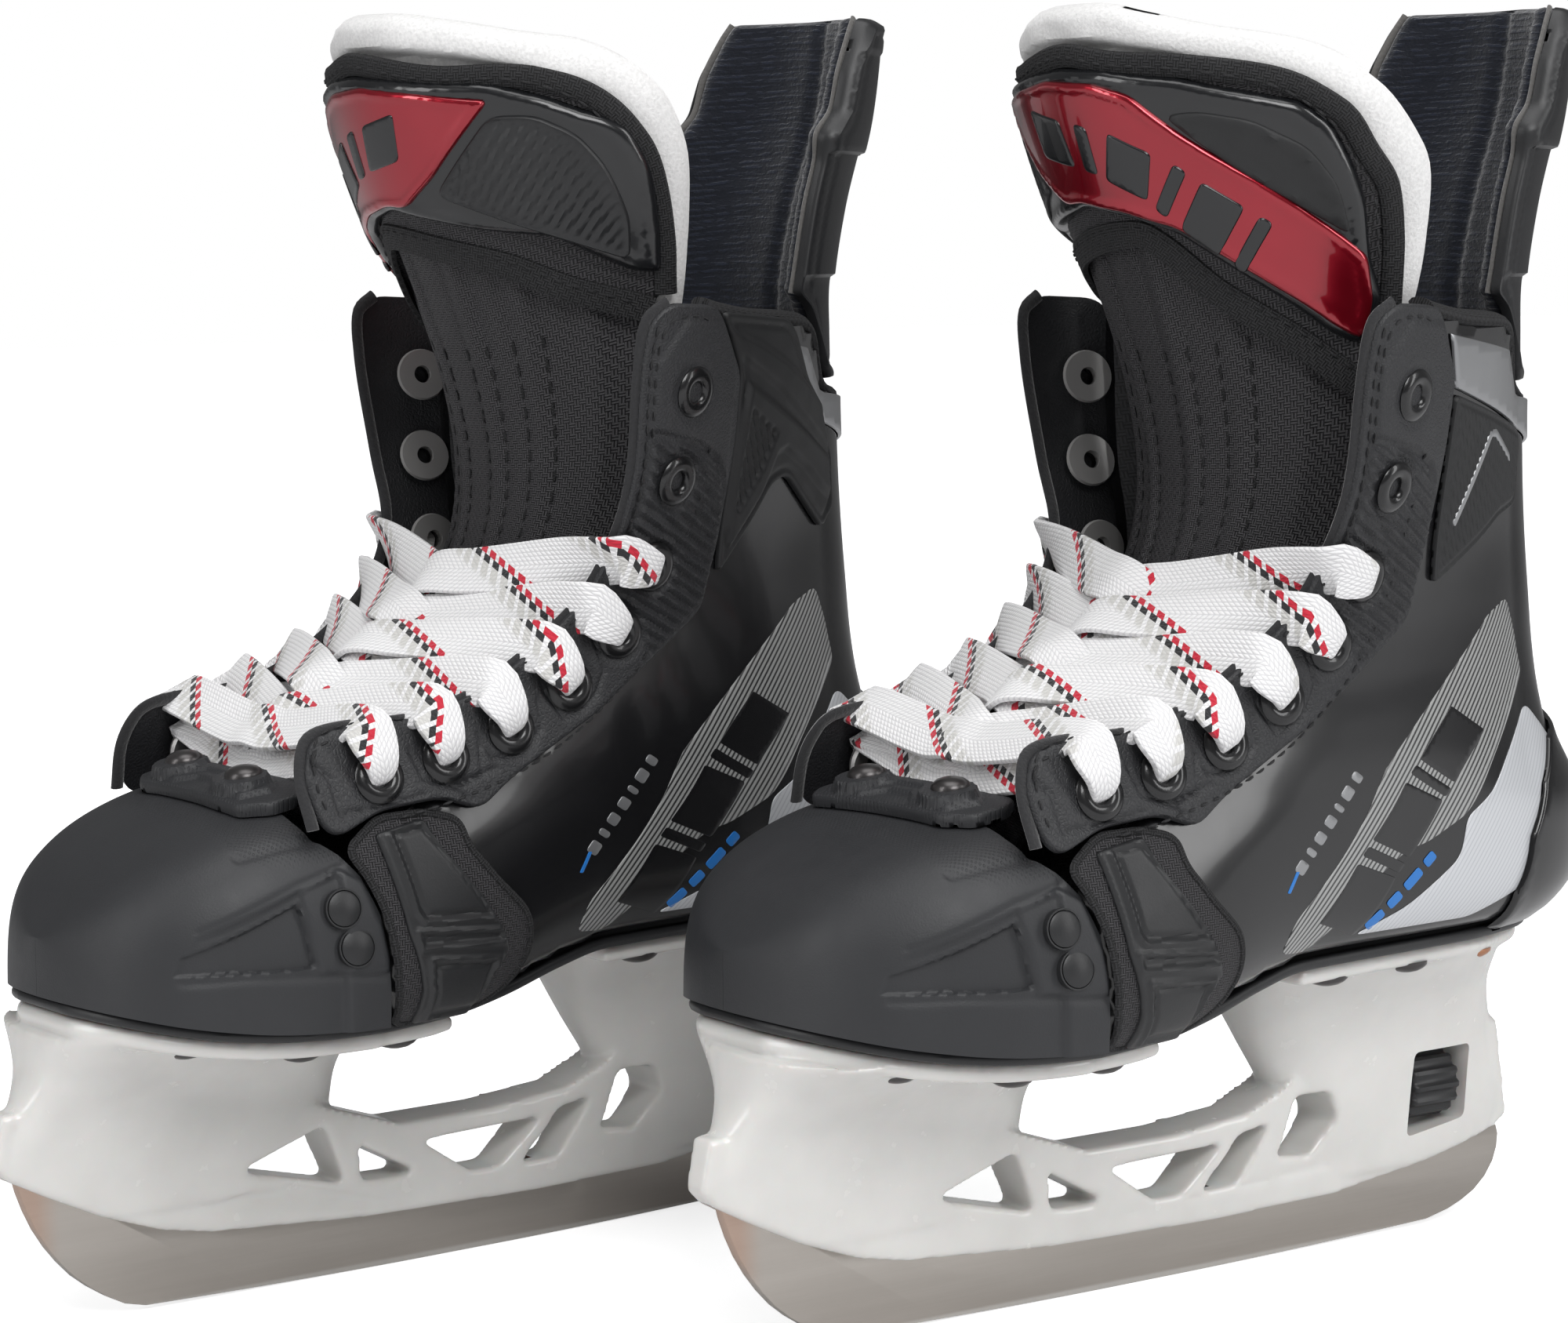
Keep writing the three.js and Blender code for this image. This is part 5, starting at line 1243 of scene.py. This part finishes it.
BADGE = [[-44, 160], [-42, 164], [-35, 172], [-27.5, 177.5], [-10, 182], [0, 183.5], [9.5, 182.5], [23, 178],
         [33, 172], [38.5, 168], [41.5, 161], [44.8, 143], [46, 132], [48, 124], [45, 118], [40.5, 121], [29, 134],
         [17, 147], [8, 152], [-1, 154.5], [-11.5, 151], [-31, 143], [-43, 131], [-47, 129], [-46.8, 136.5],
         [-45.5, 151.5]]
RED_BAND = [[-27.5, 174], [-15, 178.5], [-3, 181.3], [8, 180], [15, 176.5], [30.8, 155], [45.2, 133.8], [46.5, 124.5],
            [45, 119], [40.8, 122.5], [29.5, 135.5], [17.5, 148.5], [8.3, 153.3], [-1, 155.8], [-6, 155],
            [-14, 160.5]]
OUTER_FIELD = [[19.5, 171.5], [25, 171], [32, 167], [38, 158.5], [41, 149.5], [43, 138], [39, 143], [30, 155]]
INNER_FIELD = [[-26.5, 171], [-13.5, 157], [-21, 151.5], [-32, 143], [-42.5, 134], [-42.5, 142], [-40, 155],
               [-37.5, 163], [-33, 169]]


def tongue_tube(line, lift, half, height, closed=False, count=220, power=1.0):
    line = smooth_line(line, count, closed)
    path = lifted(tongue, line[:, 0], line[:, 1], np.full(len(line), lift))
    return tube(path, oval(half, height, 12, power), normals(tongue, line[:, 0], line[:, 1]), closed)


def felt_relief(p, q, d):
    """Uneven stuffing, fuller at the inner top corner."""
    swell = 1.5 * np.exp(-(((p + 36) / 13) ** 2 + ((q - 184) / 12) ** 2))
    soft = 0.45 * np.sin(p * 0.16 + 1.3) * np.sin(q * 0.19) + 0.25 * np.sin(p * 0.37 + q * 0.23)
    sunk = np.maximum(smoothstep(9, 13, d) * smoothstep(200, 187, q), smoothstep(124, 116, q) * smoothstep(0, 1, d))
    return (swell + soft) * smoothstep(1, 6, d) * (1 - sunk) - 4.2 * sunk


def felt_pad():
    return panel(rounded(FELT, 5), tongue, -9.2, -0.9, 1.7 * FINE, 4.2, felt_relief, pad=True)


def lower_relief(p, q, d):
    """Raised channels up the tongue, between pressed seams."""
    channels = sum(0.8 * np.exp(-((np.abs(p) - c) / 2.2) ** 2) for c in (9, 23, 36))
    seams = sum(0.5 * np.exp(-((np.abs(p) - c) / 0.7) ** 2) for c in (5.5, 12.5, 19.5, 26.5))
    return (channels - seams) * smoothstep(0, 2, d)


def tongue_lower():
    return panel(rounded(LOWER, 4), tongue, -4.6, -0.9, 1.6 * FINE, 1.5, lower_relief)


def tongue_seams():
    rows = []
    for p in (-23, -9, 9, 23):
        for side in (-3.4, 3.4):
            rows.append(stitches(smooth_line([[p + side, 14], [p + side, 70], [p + side, 128]], 80), tongue, -0.95,
                                 4.2, 2.9, 0.26))
    return join(rows)


def webbing_strip():
    """Ribbed tape sewn along the badge's lower edge."""
    line = [[-45.5, 123], [-34.5, 130.2], [-22, 139.5], [-7, 145.8], [4, 148], [11, 146.8], [23, 133], [36.5, 120],
            [46, 111]]
    return tongue_tube(line, 0.9, 3.0, 0.75, power=0.4)


def cover():
    return panel(rounded(COVER, 2), tongue, -1.3, 0.9, 1.8 * FINE, 0.6)


def cover_binding():
    return tongue_tube(COVER[:17], 0.55, 2.5, 1.5, power=0.8)


def cover_stitches():
    outer = smooth_line(np.array(COVER[1:16], float) * (0.96, 1), 200)
    strip = smooth_line([[-44, 124.5], [-34, 131.8], [-22, 141], [-7, 147.2], [4, 149.5], [11.5, 148.2],
                         [23.5, 134.8], [37, 121.6], [45, 113.8]], 160)
    return join([stitches(outer, tongue, 2.0, 3.2, 2.2, 0.3), stitches(strip, tongue, 1.6, 3.2, 2.2, 0.3)])


def badge_frame():
    return panel(rounded(BADGE, 2), tongue, 0.6, 3.1, 1.0 * FINE, 1.3,
                 lambda p, q, d: 0.5 * np.exp(-((d - 1.9) / 0.8) ** 2))


def band_relief(p, q, d):
    return 0.35 * np.exp(-((d - 1.2) / 0.7) ** 2)


def red_band():
    return panel(rounded(RED_BAND, 2), tongue, 2.6, 3.95, 0.8 * FINE, 0.6, band_relief)


def band_bars():
    """Plain slanted bars down the middle of the band, in place of its lettering."""
    line = smooth_line([[-18, 172], [-6, 169.5], [4, 167], [13, 162], [24, 148.5], [36, 134], [43, 127]], 80)
    way = np.concatenate([[0], np.cumsum(np.linalg.norm(np.diff(line, axis=0), axis=1))])
    parts = []
    for start, length in ((9, 9), (21, 3), (27, 9), (39, 3), (45, 9), (57, 3)):
        ends = [np.array([np.interp(s, way, line[:, k]) for k in (0, 1)]) for s in (start, start + length)]
        run = (ends[1] - ends[0]) / np.linalg.norm(ends[1] - ends[0])
        up = (np.array([-run[1], run[0]]) + run * -0.4) * 4.6
        corners = [ends[0] - up, ends[1] - up, ends[1] + up, ends[0] + up]
        parts.append(panel(rounded(corners, 1.2), tongue, 3.6, 4.35, 0.8 * FINE, 0.35))
    return join(parts)


def outer_field():
    return panel(rounded(OUTER_FIELD, 2.5), tongue, 2.6, 3.6, 1.0 * FINE, 0.4,
                 lambda p, q, d: 0.5 * np.exp(-((d - 1.0) / 0.5) ** 2))


def inner_field():
    def ribs(p, q, d):
        run = p * 0.8 + q * 0.6
        wave = 0.5 - 0.5 * np.cos(run * 2 * math.pi / 1.9)
        return 0.5 * wave * smoothstep(0.8, 1.8, d) + 0.5 * np.exp(-((d - 0.4) / 0.4) ** 2)
    return panel(rounded(INNER_FIELD, 2.5), tongue, 2.6, 3.5, 0.65 * FINE, 0.4, ribs)


# ---------------------------------------------------------------- tendon guard
GUARD_SIDE = [[0, 189.2], [24, 189.8], [32.5, 192.6], [37.5, 201.2], [40, 205.8], [43.8, 209], [42.8, 214], [40.8, 229],
              [39.4, 238], [39.8, 244], [36.6, 249], [35, 258], [32, 266], [30, 269.8], [0, 270.4]]


def guard_outline(grow=0.0):
    half = np.array(GUARD_SIDE, float)
    half[1:-1, 0] += grow
    half[0, 1] -= grow
    half[-1, 1] += grow
    return rounded(np.vstack([half, half[-2:0:-1] * (-1, 1)]), 1.6)


def guard_relief(p, q, d):
    """A thick head, a thinner neck with a long rib down the back, and a thin foot inside the collar."""
    head = 1.5 * smoothstep(239.5, 240.7, q) + 0.5 * smoothstep(262, 263, q)
    foot = -1.1 * smoothstep(213.2, 212.2, q)
    rib = 0.9 * smoothstep(14, 12.5, np.abs(p)) * smoothstep(214, 217, q) * smoothstep(258, 254, q)
    line = -0.4 * np.exp(-((d - 3.6) / 0.5) ** 2)
    return (head + foot + rib + line) * smoothstep(0.3, 1.8, d)


def guard_outer():
    return panel(guard_outline(), guard, -2.4, 0.1, 0.95 * FINE, 0.8, guard_relief)


def guard_felt():
    """Ribbed felt lining with a crease up its middle; the crease and the ribs are on the face to the leg."""
    part = panel(guard_outline(-0.8), guard, -7.4, -2.5, 1.5 * FINE, 2.2, pad=True)
    p, q, d = part.surf.T
    centre = guard(p, q)
    outward = normals(guard, p, q)
    inner = ((part.verts - centre) * outward).sum(1) < -5.2
    rise = 1.6 * np.exp(-(np.abs(p) / 2.2) ** 2) + 0.35 * (0.5 - 0.5 * np.cos(q * 2 * math.pi / 4.2))
    part.verts[inner] += outward[inner] * rise[inner, None]
    return Shape(part.verts, part.faces, part.surf[:, [1, 0, 2]])


def guard_cut():
    """The pale cut edge of the padding, seen down both free edges."""
    half = np.array(GUARD_SIDE[5:-1], float)
    parts = []
    for side in (1, -1):
        line = smooth_line(half * (side, 1) - (0.6 * side, 0), 70)
        path = lifted(guard, line[:, 0], line[:, 1], np.full(len(line), -3.4))
        parts.append(tube(path, oval(0.9, 0.55, 10), normals(guard, line[:, 0], line[:, 1])))
    return join(parts)


def guard_stitches():
    line = smooth_line([[37.5, 238], [37.6, 242.5], [34, 248], [32.4, 257], [29.5, 264], [27.5, 267.2], [0, 267.8],
                        [-27.5, 267.2], [-29.5, 264], [-32.4, 257], [-34, 248], [-37.6, 242.5], [-37.5, 238]], 180)
    return stitches(line, guard, 0.6, 3.2, 2.2, 0.3)


# ---------------------------------------------------------------- lace
LACE_HALF, LACE_THICK = 5.6, 0.85
CROSSINGS = [0.085, 0.145, 0.205, 0.265, 0.33]
UNDER_PASS = 0.05


def lace_band(spots, start=0.0):
    """A flat band through spots, each a point, its normal, and the band's width and thickness as shares.

    start is where along the braid's pattern the band begins."""
    rows = np.array([np.concatenate([point, out, size]) for point, out, size in spots], float)
    line = smooth_line(rows, 64)
    section = oval(1, 1, 16, 0.45)[None] * (line[:, None, 6:8] * (LACE_HALF, LACE_THICK))
    band_shape = tube(line[:, :3], section, line[:, 3:6])
    return Shape(band_shape.verts, band_shape.faces, band_shape.surf + (start, 0, 0))


def lace_anchor(i, side, reach, lift):
    """A point off eyelet i, reach millimetres over the throat from it, and the normal there."""
    x, z = EYELETS[i] + across_eyelets(i) * reach
    a, z = mapped([[x, z]])[0]
    point, out = lifted(boot, a, z, lift), normals(boot, np.array(a), np.array(z))
    size = (np.interp(reach, [0, 1.4, 7.5], [0.42, 0.62, 1]), np.interp(reach, [0, 1.4, 7.5], [2.0, 1.7, 1]))
    return point * (1, side, 1), out * (1, side, 1), size


def tongue_spot(share, across, lift):
    p, q = np.array(float(across)), np.array(share * TONGUE_LENGTH)
    return lifted(tongue, p, q, lift), normals(tongue, p, q), (1, 1)


def over_end(i, side):
    """The end that comes over a facing's edge and turns down into its eyelet."""
    return [lace_anchor(i, side, 10.0, 4.8), lace_anchor(i, side, 6.5, 5.7), lace_anchor(i, side, 3.2, 5.9),
            lace_anchor(i, side, 1.0, 4.7), lace_anchor(i, side, 0.1, 2.2), lace_anchor(i, side, -0.1, 0.2)]


def lace():
    """Each band comes from under one facing, over the tongue, and down into the next eyelet opposite."""
    middle = [tongue_spot(0.075, p, 5.6) for p in (12, 0, -12)]
    bands = [lace_band(over_end(0, 1)[::-1] + middle + over_end(0, -1))]
    under = [tongue_spot(UNDER_PASS, p, 1.2) for p in (12, 0, -12)]
    bands.append(lace_band([lace_anchor(0, 1, 1, -1.6), lace_anchor(0, 1, 6, -1.2)] + under
                           + [lace_anchor(0, -1, 6, -1.2), lace_anchor(0, -1, 1, -1.6)]))
    for i, share in enumerate(CROSSINGS):
        for side in (1, -1):
            high = 5.2 if (side > 0) == (i % 2 == 0) else 3.0
            spots = [lace_anchor(i, side, 0, -1.7), lace_anchor(i, side, 5, -1.1), tongue_spot(share - 0.008, side * 16, 1.6),
                     tongue_spot(share + 0.004, 0, high), tongue_spot(share + 0.022, -side * 15, high)]
            bands.append(lace_band(spots + over_end(i + 1, -side), 13.0 * i + 7 * side))
    return join(bands)


# ---------------------------------------------------------------- both skates
def dress():
    """Sets every piece down on both skates."""
    place("holder", holder(), LOOKS["holder"], replaces=["blade_holder"], sharp=50)
    place("runner", runner(), LOOKS["steel"], "runner", ["runner"], sharp=30)
    place("lock_wheel", lock_wheel(), LOOKS["satin"], "lock_wheel", ["lock_wheel"])
    place("front_rivets", rivets(FRONT_RIVETS), LOOKS["rivet"], replaces=["front_rivets"])
    place("rear_rivets", rivets(REAR_RIVETS), LOOKS["rivet"], replaces=["rear_rivets"])
    place("copper_rivets", rivets(COPPER_RIVETS), LOOKS["copper"], replaces=["copper_rivets"])
    place("outsole", sole_panel(0.3, -105.5, 102, -2.2, 0.2, 0.9), LOOKS["satin"], replaces=["outsole"])
    place("footbed", sole_panel(-8.5, -96, 92, 1.6, 4.6, 1.2), LOOKS["liner"], replaces=["footbed"])
    place("shell", boot_shell(), LOOKS["shell"], replaces=["boot_shell"])
    place("liner", liner(), LOOKS["liner"], replaces=["liner"])
    place("collar_piping", collar_piping(), LOOKS["webbing"])
    place("toe_cap", toe_cap(), LOOKS["toe"], replaces=["toe_cap"], sharp=60)
    place("toe_plugs", toe_plugs(), LOOKS["satin"])
    plate, domes = toe_bridge()
    place("toe_bridge", plate, LOOKS["toe"], replaces=["toe_bridge"])
    place("bridge_rivets", domes, LOOKS["rivet"])
    heel = [[-78, 71.7], [-80, 80], [-84, 92], [-89, 103], [-96, 112], [-130, 120]]
    place("heel_cup", wrapped([[-130, 71.7]] + heel, 0.3, 1.5, 1.8), LOOKS["shell"], replaces=["heel_cup"])
    band_side = [[-130, 172], [-86, 179.8], [-46.7, 190.3], [-41.9, 201.6], [-71.8, 197.5], [-80.3, 188],
                 [-84, 187.0], [-130, 184]]
    place("rear_band", wrapped(band_side, 0.3, 1.1, 1.8, 0.4), LOOKS["silver"], replaces=["rear_band"])
    facings = facing()
    for side, turn in (("outer", lambda part: part), ("inner", mirror)):
        place(f"facing_{side}", turn(facings), LOOKS["facing"], replaces=[f"facing_{side}"])
        place(f"facing_edge_{side}", turn(facing_edge()), LOOKS["fuzz"])
        place(f"facing_stitches_{side}", turn(facing_stitches()), LOOKS["stitch"])
        place(f"eyelet_flanges_{side}", turn(eyelets("outer")), LOOKS["eyelet"], replaces=[f"eyelets_{side}"])
        place(f"eyelet_washers_{side}", turn(eyelets("inner")), LOOKS["washer"])
        place(f"wrap_mesh_{side}", turn(side_panel(WRAP, 0.3, 1.5, 1.4)), LOOKS["mesh"],
              replaces=[f"forefoot_wrap_{side}"])
        place(f"wrap_panel_{side}", turn(wrap_gloss()), LOOKS["satin"])
        place(f"wrap_piping_{side}", turn(edge_piping(WRAP, 1.2, 0.9)), LOOKS["webbing"])
        place(f"quarter_band_{side}", turn(side_panel(QUARTER_BAND, -0.05, 0.14, 2.0, 0.1)), LOOKS["pinstripe"])
        place(f"heel_band_{side}", turn(side_panel(HEEL_BAND, 0.05, 0.2, 2.0, 0.1)), LOOKS["white_print"])
    for side, turn in (("outer", lambda part: part), ("inner", mirror)):
        bars = slanting_bars(LETTER_BARS, (15, 2.5, 15, 2.5, 15), 12.5, -0.35, 0.1, 0.22)
        place(f"band_bars_{side}", turn(bars), LOOKS["shell"])
        ticks = slanting_bars([[-8.2, 92.4], [-26.5, 112.4]], (3.0, 1.6, 2.6, 2.6, 1.4, 3.0, 2.0), 3.2, -0.2, -0.05, 0.12)
        place(f"quarter_ticks_{side}", turn(ticks), LOOKS["silver"])
        dashes = slanting_bars([[-33, 77.8], [-51.5, 92.6]], (5.0, 4.0, 5.5, 3.4), 2.6, -0.2, 0.1, 0.2)
        place(f"blue_dashes_{side}", turn(dashes), LOOKS["blue"])
        slash = side_panel([[-5.2, 88.6], [-6.2, 88.4], [-8.6, 92.8], [-7.6, 93]], -0.05, 0.12, 1.0, 0.1, radius=0.3)
        place(f"blue_slash_{side}", turn(slash), LOOKS["blue"])
    place("ankle_line", side_panel(ANKLE_LINE, 1.3, 1.75, 0.9, 0.2, radius=0.6), LOOKS["silver"])
    place("ankle_pad_outer", side_panel(ANKLE_PAD, 0.3, 1.4, 0.5, 0.6, ankle_relief), LOOKS["matte"],
          replaces=["ankle_pad_outer"])
    place("ankle_pad_inner", mirror(side_panel(MEDIAL_PANEL, 0.3, 1.5, 0.6, 0.6, medial_relief)), LOOKS["matte"],
          replaces=["ankle_pad_inner"])
    bend = ("skate", "tongue", (-9, 0, 160), (-4, 0, 196))
    place("tongue_felt", felt_pad(), LOOKS["felt"], replaces=["tongue_felt"], blend=bend)
    place("tongue_lower", tongue_lower(), LOOKS["mesh"], replaces=["tongue_lower"], blend=bend)
    place("tongue_seams", tongue_seams(), LOOKS["webbing"], blend=bend)
    place("tongue_cover", cover(), LOOKS["mesh"], replaces=["tongue_upper"], blend=bend)
    place("webbing_strip", webbing_strip(), LOOKS["webbing"], blend=bend)
    place("cover_binding", cover_binding(), LOOKS["webbing"], blend=bend)
    place("cover_stitches", cover_stitches(), LOOKS["stitch"], blend=bend)
    place("badge_frame", badge_frame(), LOOKS["gloss"], "tongue", ["tongue_badge"])
    place("badge_band", red_band(), LOOKS["candy"], "tongue")
    place("badge_bars", band_bars(), LOOKS["gloss"], "tongue")
    place("badge_outer_field", outer_field(), LOOKS["matte"], "tongue")
    place("badge_inner_field", inner_field(), LOOKS["satin"], "tongue")
    place("guard", guard_outer(), LOOKS["satin"], "tendon_guard", ["tendon_guard"])
    place("guard_felt", guard_felt(), LOOKS["navy"], "tendon_guard", ["guard_felt"])
    place("guard_cut_edge", guard_cut(), LOOKS["cut"], "tendon_guard")
    place("guard_stitches", guard_stitches(), LOOKS["stitch"], "tendon_guard")
    place("lace", lace(), LOOKS["lace"], replaces=["lace"])


def finish_lock_sliders():
    """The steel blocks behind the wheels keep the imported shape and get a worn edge."""
    for side in SKATES:
        block = frame["nodes"][f"{side}_lock_slider"]
        block.data.materials.clear()
        block.data.materials.append(LOOKS["steel"])
        edge = block.modifiers.new("edge", "BEVEL")
        edge.width = 0.25 * MM
        edge.segments = 2


# ---------------------------------------------------------------- stage
def floor_look():
    """A pale floor that glows to the camera alone, so that it meets the backdrop without a line."""
    made = bpy.data.materials.new("floor")
    made.use_nodes = True
    tree = made.node_tree
    shader = tree.nodes["Principled BSDF"]
    shader.inputs["Base Color"].default_value = (0.80, 0.80, 0.81, 1)
    shader.inputs["Roughness"].default_value = 0.6
    shader.inputs["Specular IOR Level"].default_value = 0.2
    shader.inputs["Emission Color"].default_value = (1, 1, 1, 1)
    seen = node(tree, "LightPath").outputs["Is Camera Ray"]
    away = node(tree, "VectorMath", {0: node(tree, "NewGeometry").outputs["Position"]}, operation="LENGTH").outputs[1]
    glow = node(tree, "MapRange", {0: away, 1: 0.25, 2: 1.1, 3: 0.72, 4: 1.0}).outputs[0]
    tree.links.new(calc(tree, "MULTIPLY", seen, glow), shader.inputs["Emission Strength"])
    return made


def light(name, place_at, aim, size, watts, colour=(1, 1, 1)):
    lamp = bpy.data.lights.new(name, "AREA")
    lamp.shape = "RECTANGLE"
    lamp.size, lamp.size_y = size
    lamp.energy = watts
    lamp.color = colour
    holder_object = bpy.data.objects.new(name, lamp)
    holder_object.location = place_at
    holder_object.rotation_euler = (Vector(aim) - Vector(place_at)).to_track_quat("-Z", "Y").to_euler()
    bpy.context.scene.collection.objects.link(holder_object)


def stage():
    mesh = bpy.data.meshes.new("floor")
    mesh.from_pydata([(-6, -6, 0), (6, -6, 0), (6, 6, 0), (-6, 6, 0)], [], [[0, 1, 2, 3]])
    mesh.materials.append(floor_look())
    floor = bpy.data.objects.new("floor", mesh)
    bpy.context.scene.collection.objects.link(floor)
    world = bpy.data.worlds.new("studio")
    bpy.context.scene.world = world
    world.use_nodes = True
    tree = world.node_tree
    seen = tree.nodes.new("ShaderNodeLightPath").outputs["Is Camera Ray"]
    strength = tree.nodes.new("ShaderNodeMapRange")
    strength.inputs[3].default_value, strength.inputs[4].default_value = 0.16, 1.0
    tree.links.new(seen, strength.inputs[0])
    tree.links.new(strength.outputs[0], tree.nodes["Background"].inputs[1])
    tree.nodes["Background"].inputs[0].default_value = (1, 1, 1, 1)
    light("key", (0.5, 1.5, 1.5), (0.03, 0, 0.1), (1.0, 1.0), 24)
    light("front_strip", (1.7, -0.1, 0.8), (0.03, 0, 0.12), (0.4, 1.4), 9)
    light("rear_strip", (-1.0, 1.3, 0.8), (0.03, 0, 0.12), (0.4, 1.4), 9)
    light("top", (0.1, 0.1, 2.0), (0, 0, 0.1), (1.4, 1.4), 16)


def camera():
    """The photographer's standpoint: azimuth, elevation and roll in degrees, place in metres."""
    azimuth, elevation, roll = (math.radians(angle) for angle in (145.02, 6.27, -0.26))
    back = Vector((math.sin(azimuth) * math.cos(elevation), -math.cos(azimuth) * math.cos(elevation),
                   math.sin(elevation)))
    right = (-back).cross(Vector((0, 0, 1))).normalized()
    up = right.cross(-back)
    x_axis = right * math.cos(roll) + up * math.sin(roll)
    y_axis = up * math.cos(roll) - right * math.sin(roll)
    lens = bpy.data.cameras.new("camera")
    lens.lens, lens.sensor_width = 92.72, 36
    lens.clip_start, lens.clip_end = 0.05, 50
    eye = bpy.data.objects.new("camera", lens)
    eye.matrix_world = Matrix.Translation((0.5437, 0.6474, 0.2257)) @ Matrix(
        (x_axis, y_axis, back)).transposed().to_4x4()
    bpy.context.scene.collection.objects.link(eye)
    bpy.context.scene.camera = eye


bpy.context.scene.view_settings.view_transform = "Standard"
dress()
finish_lock_sliders()
stage()
camera()
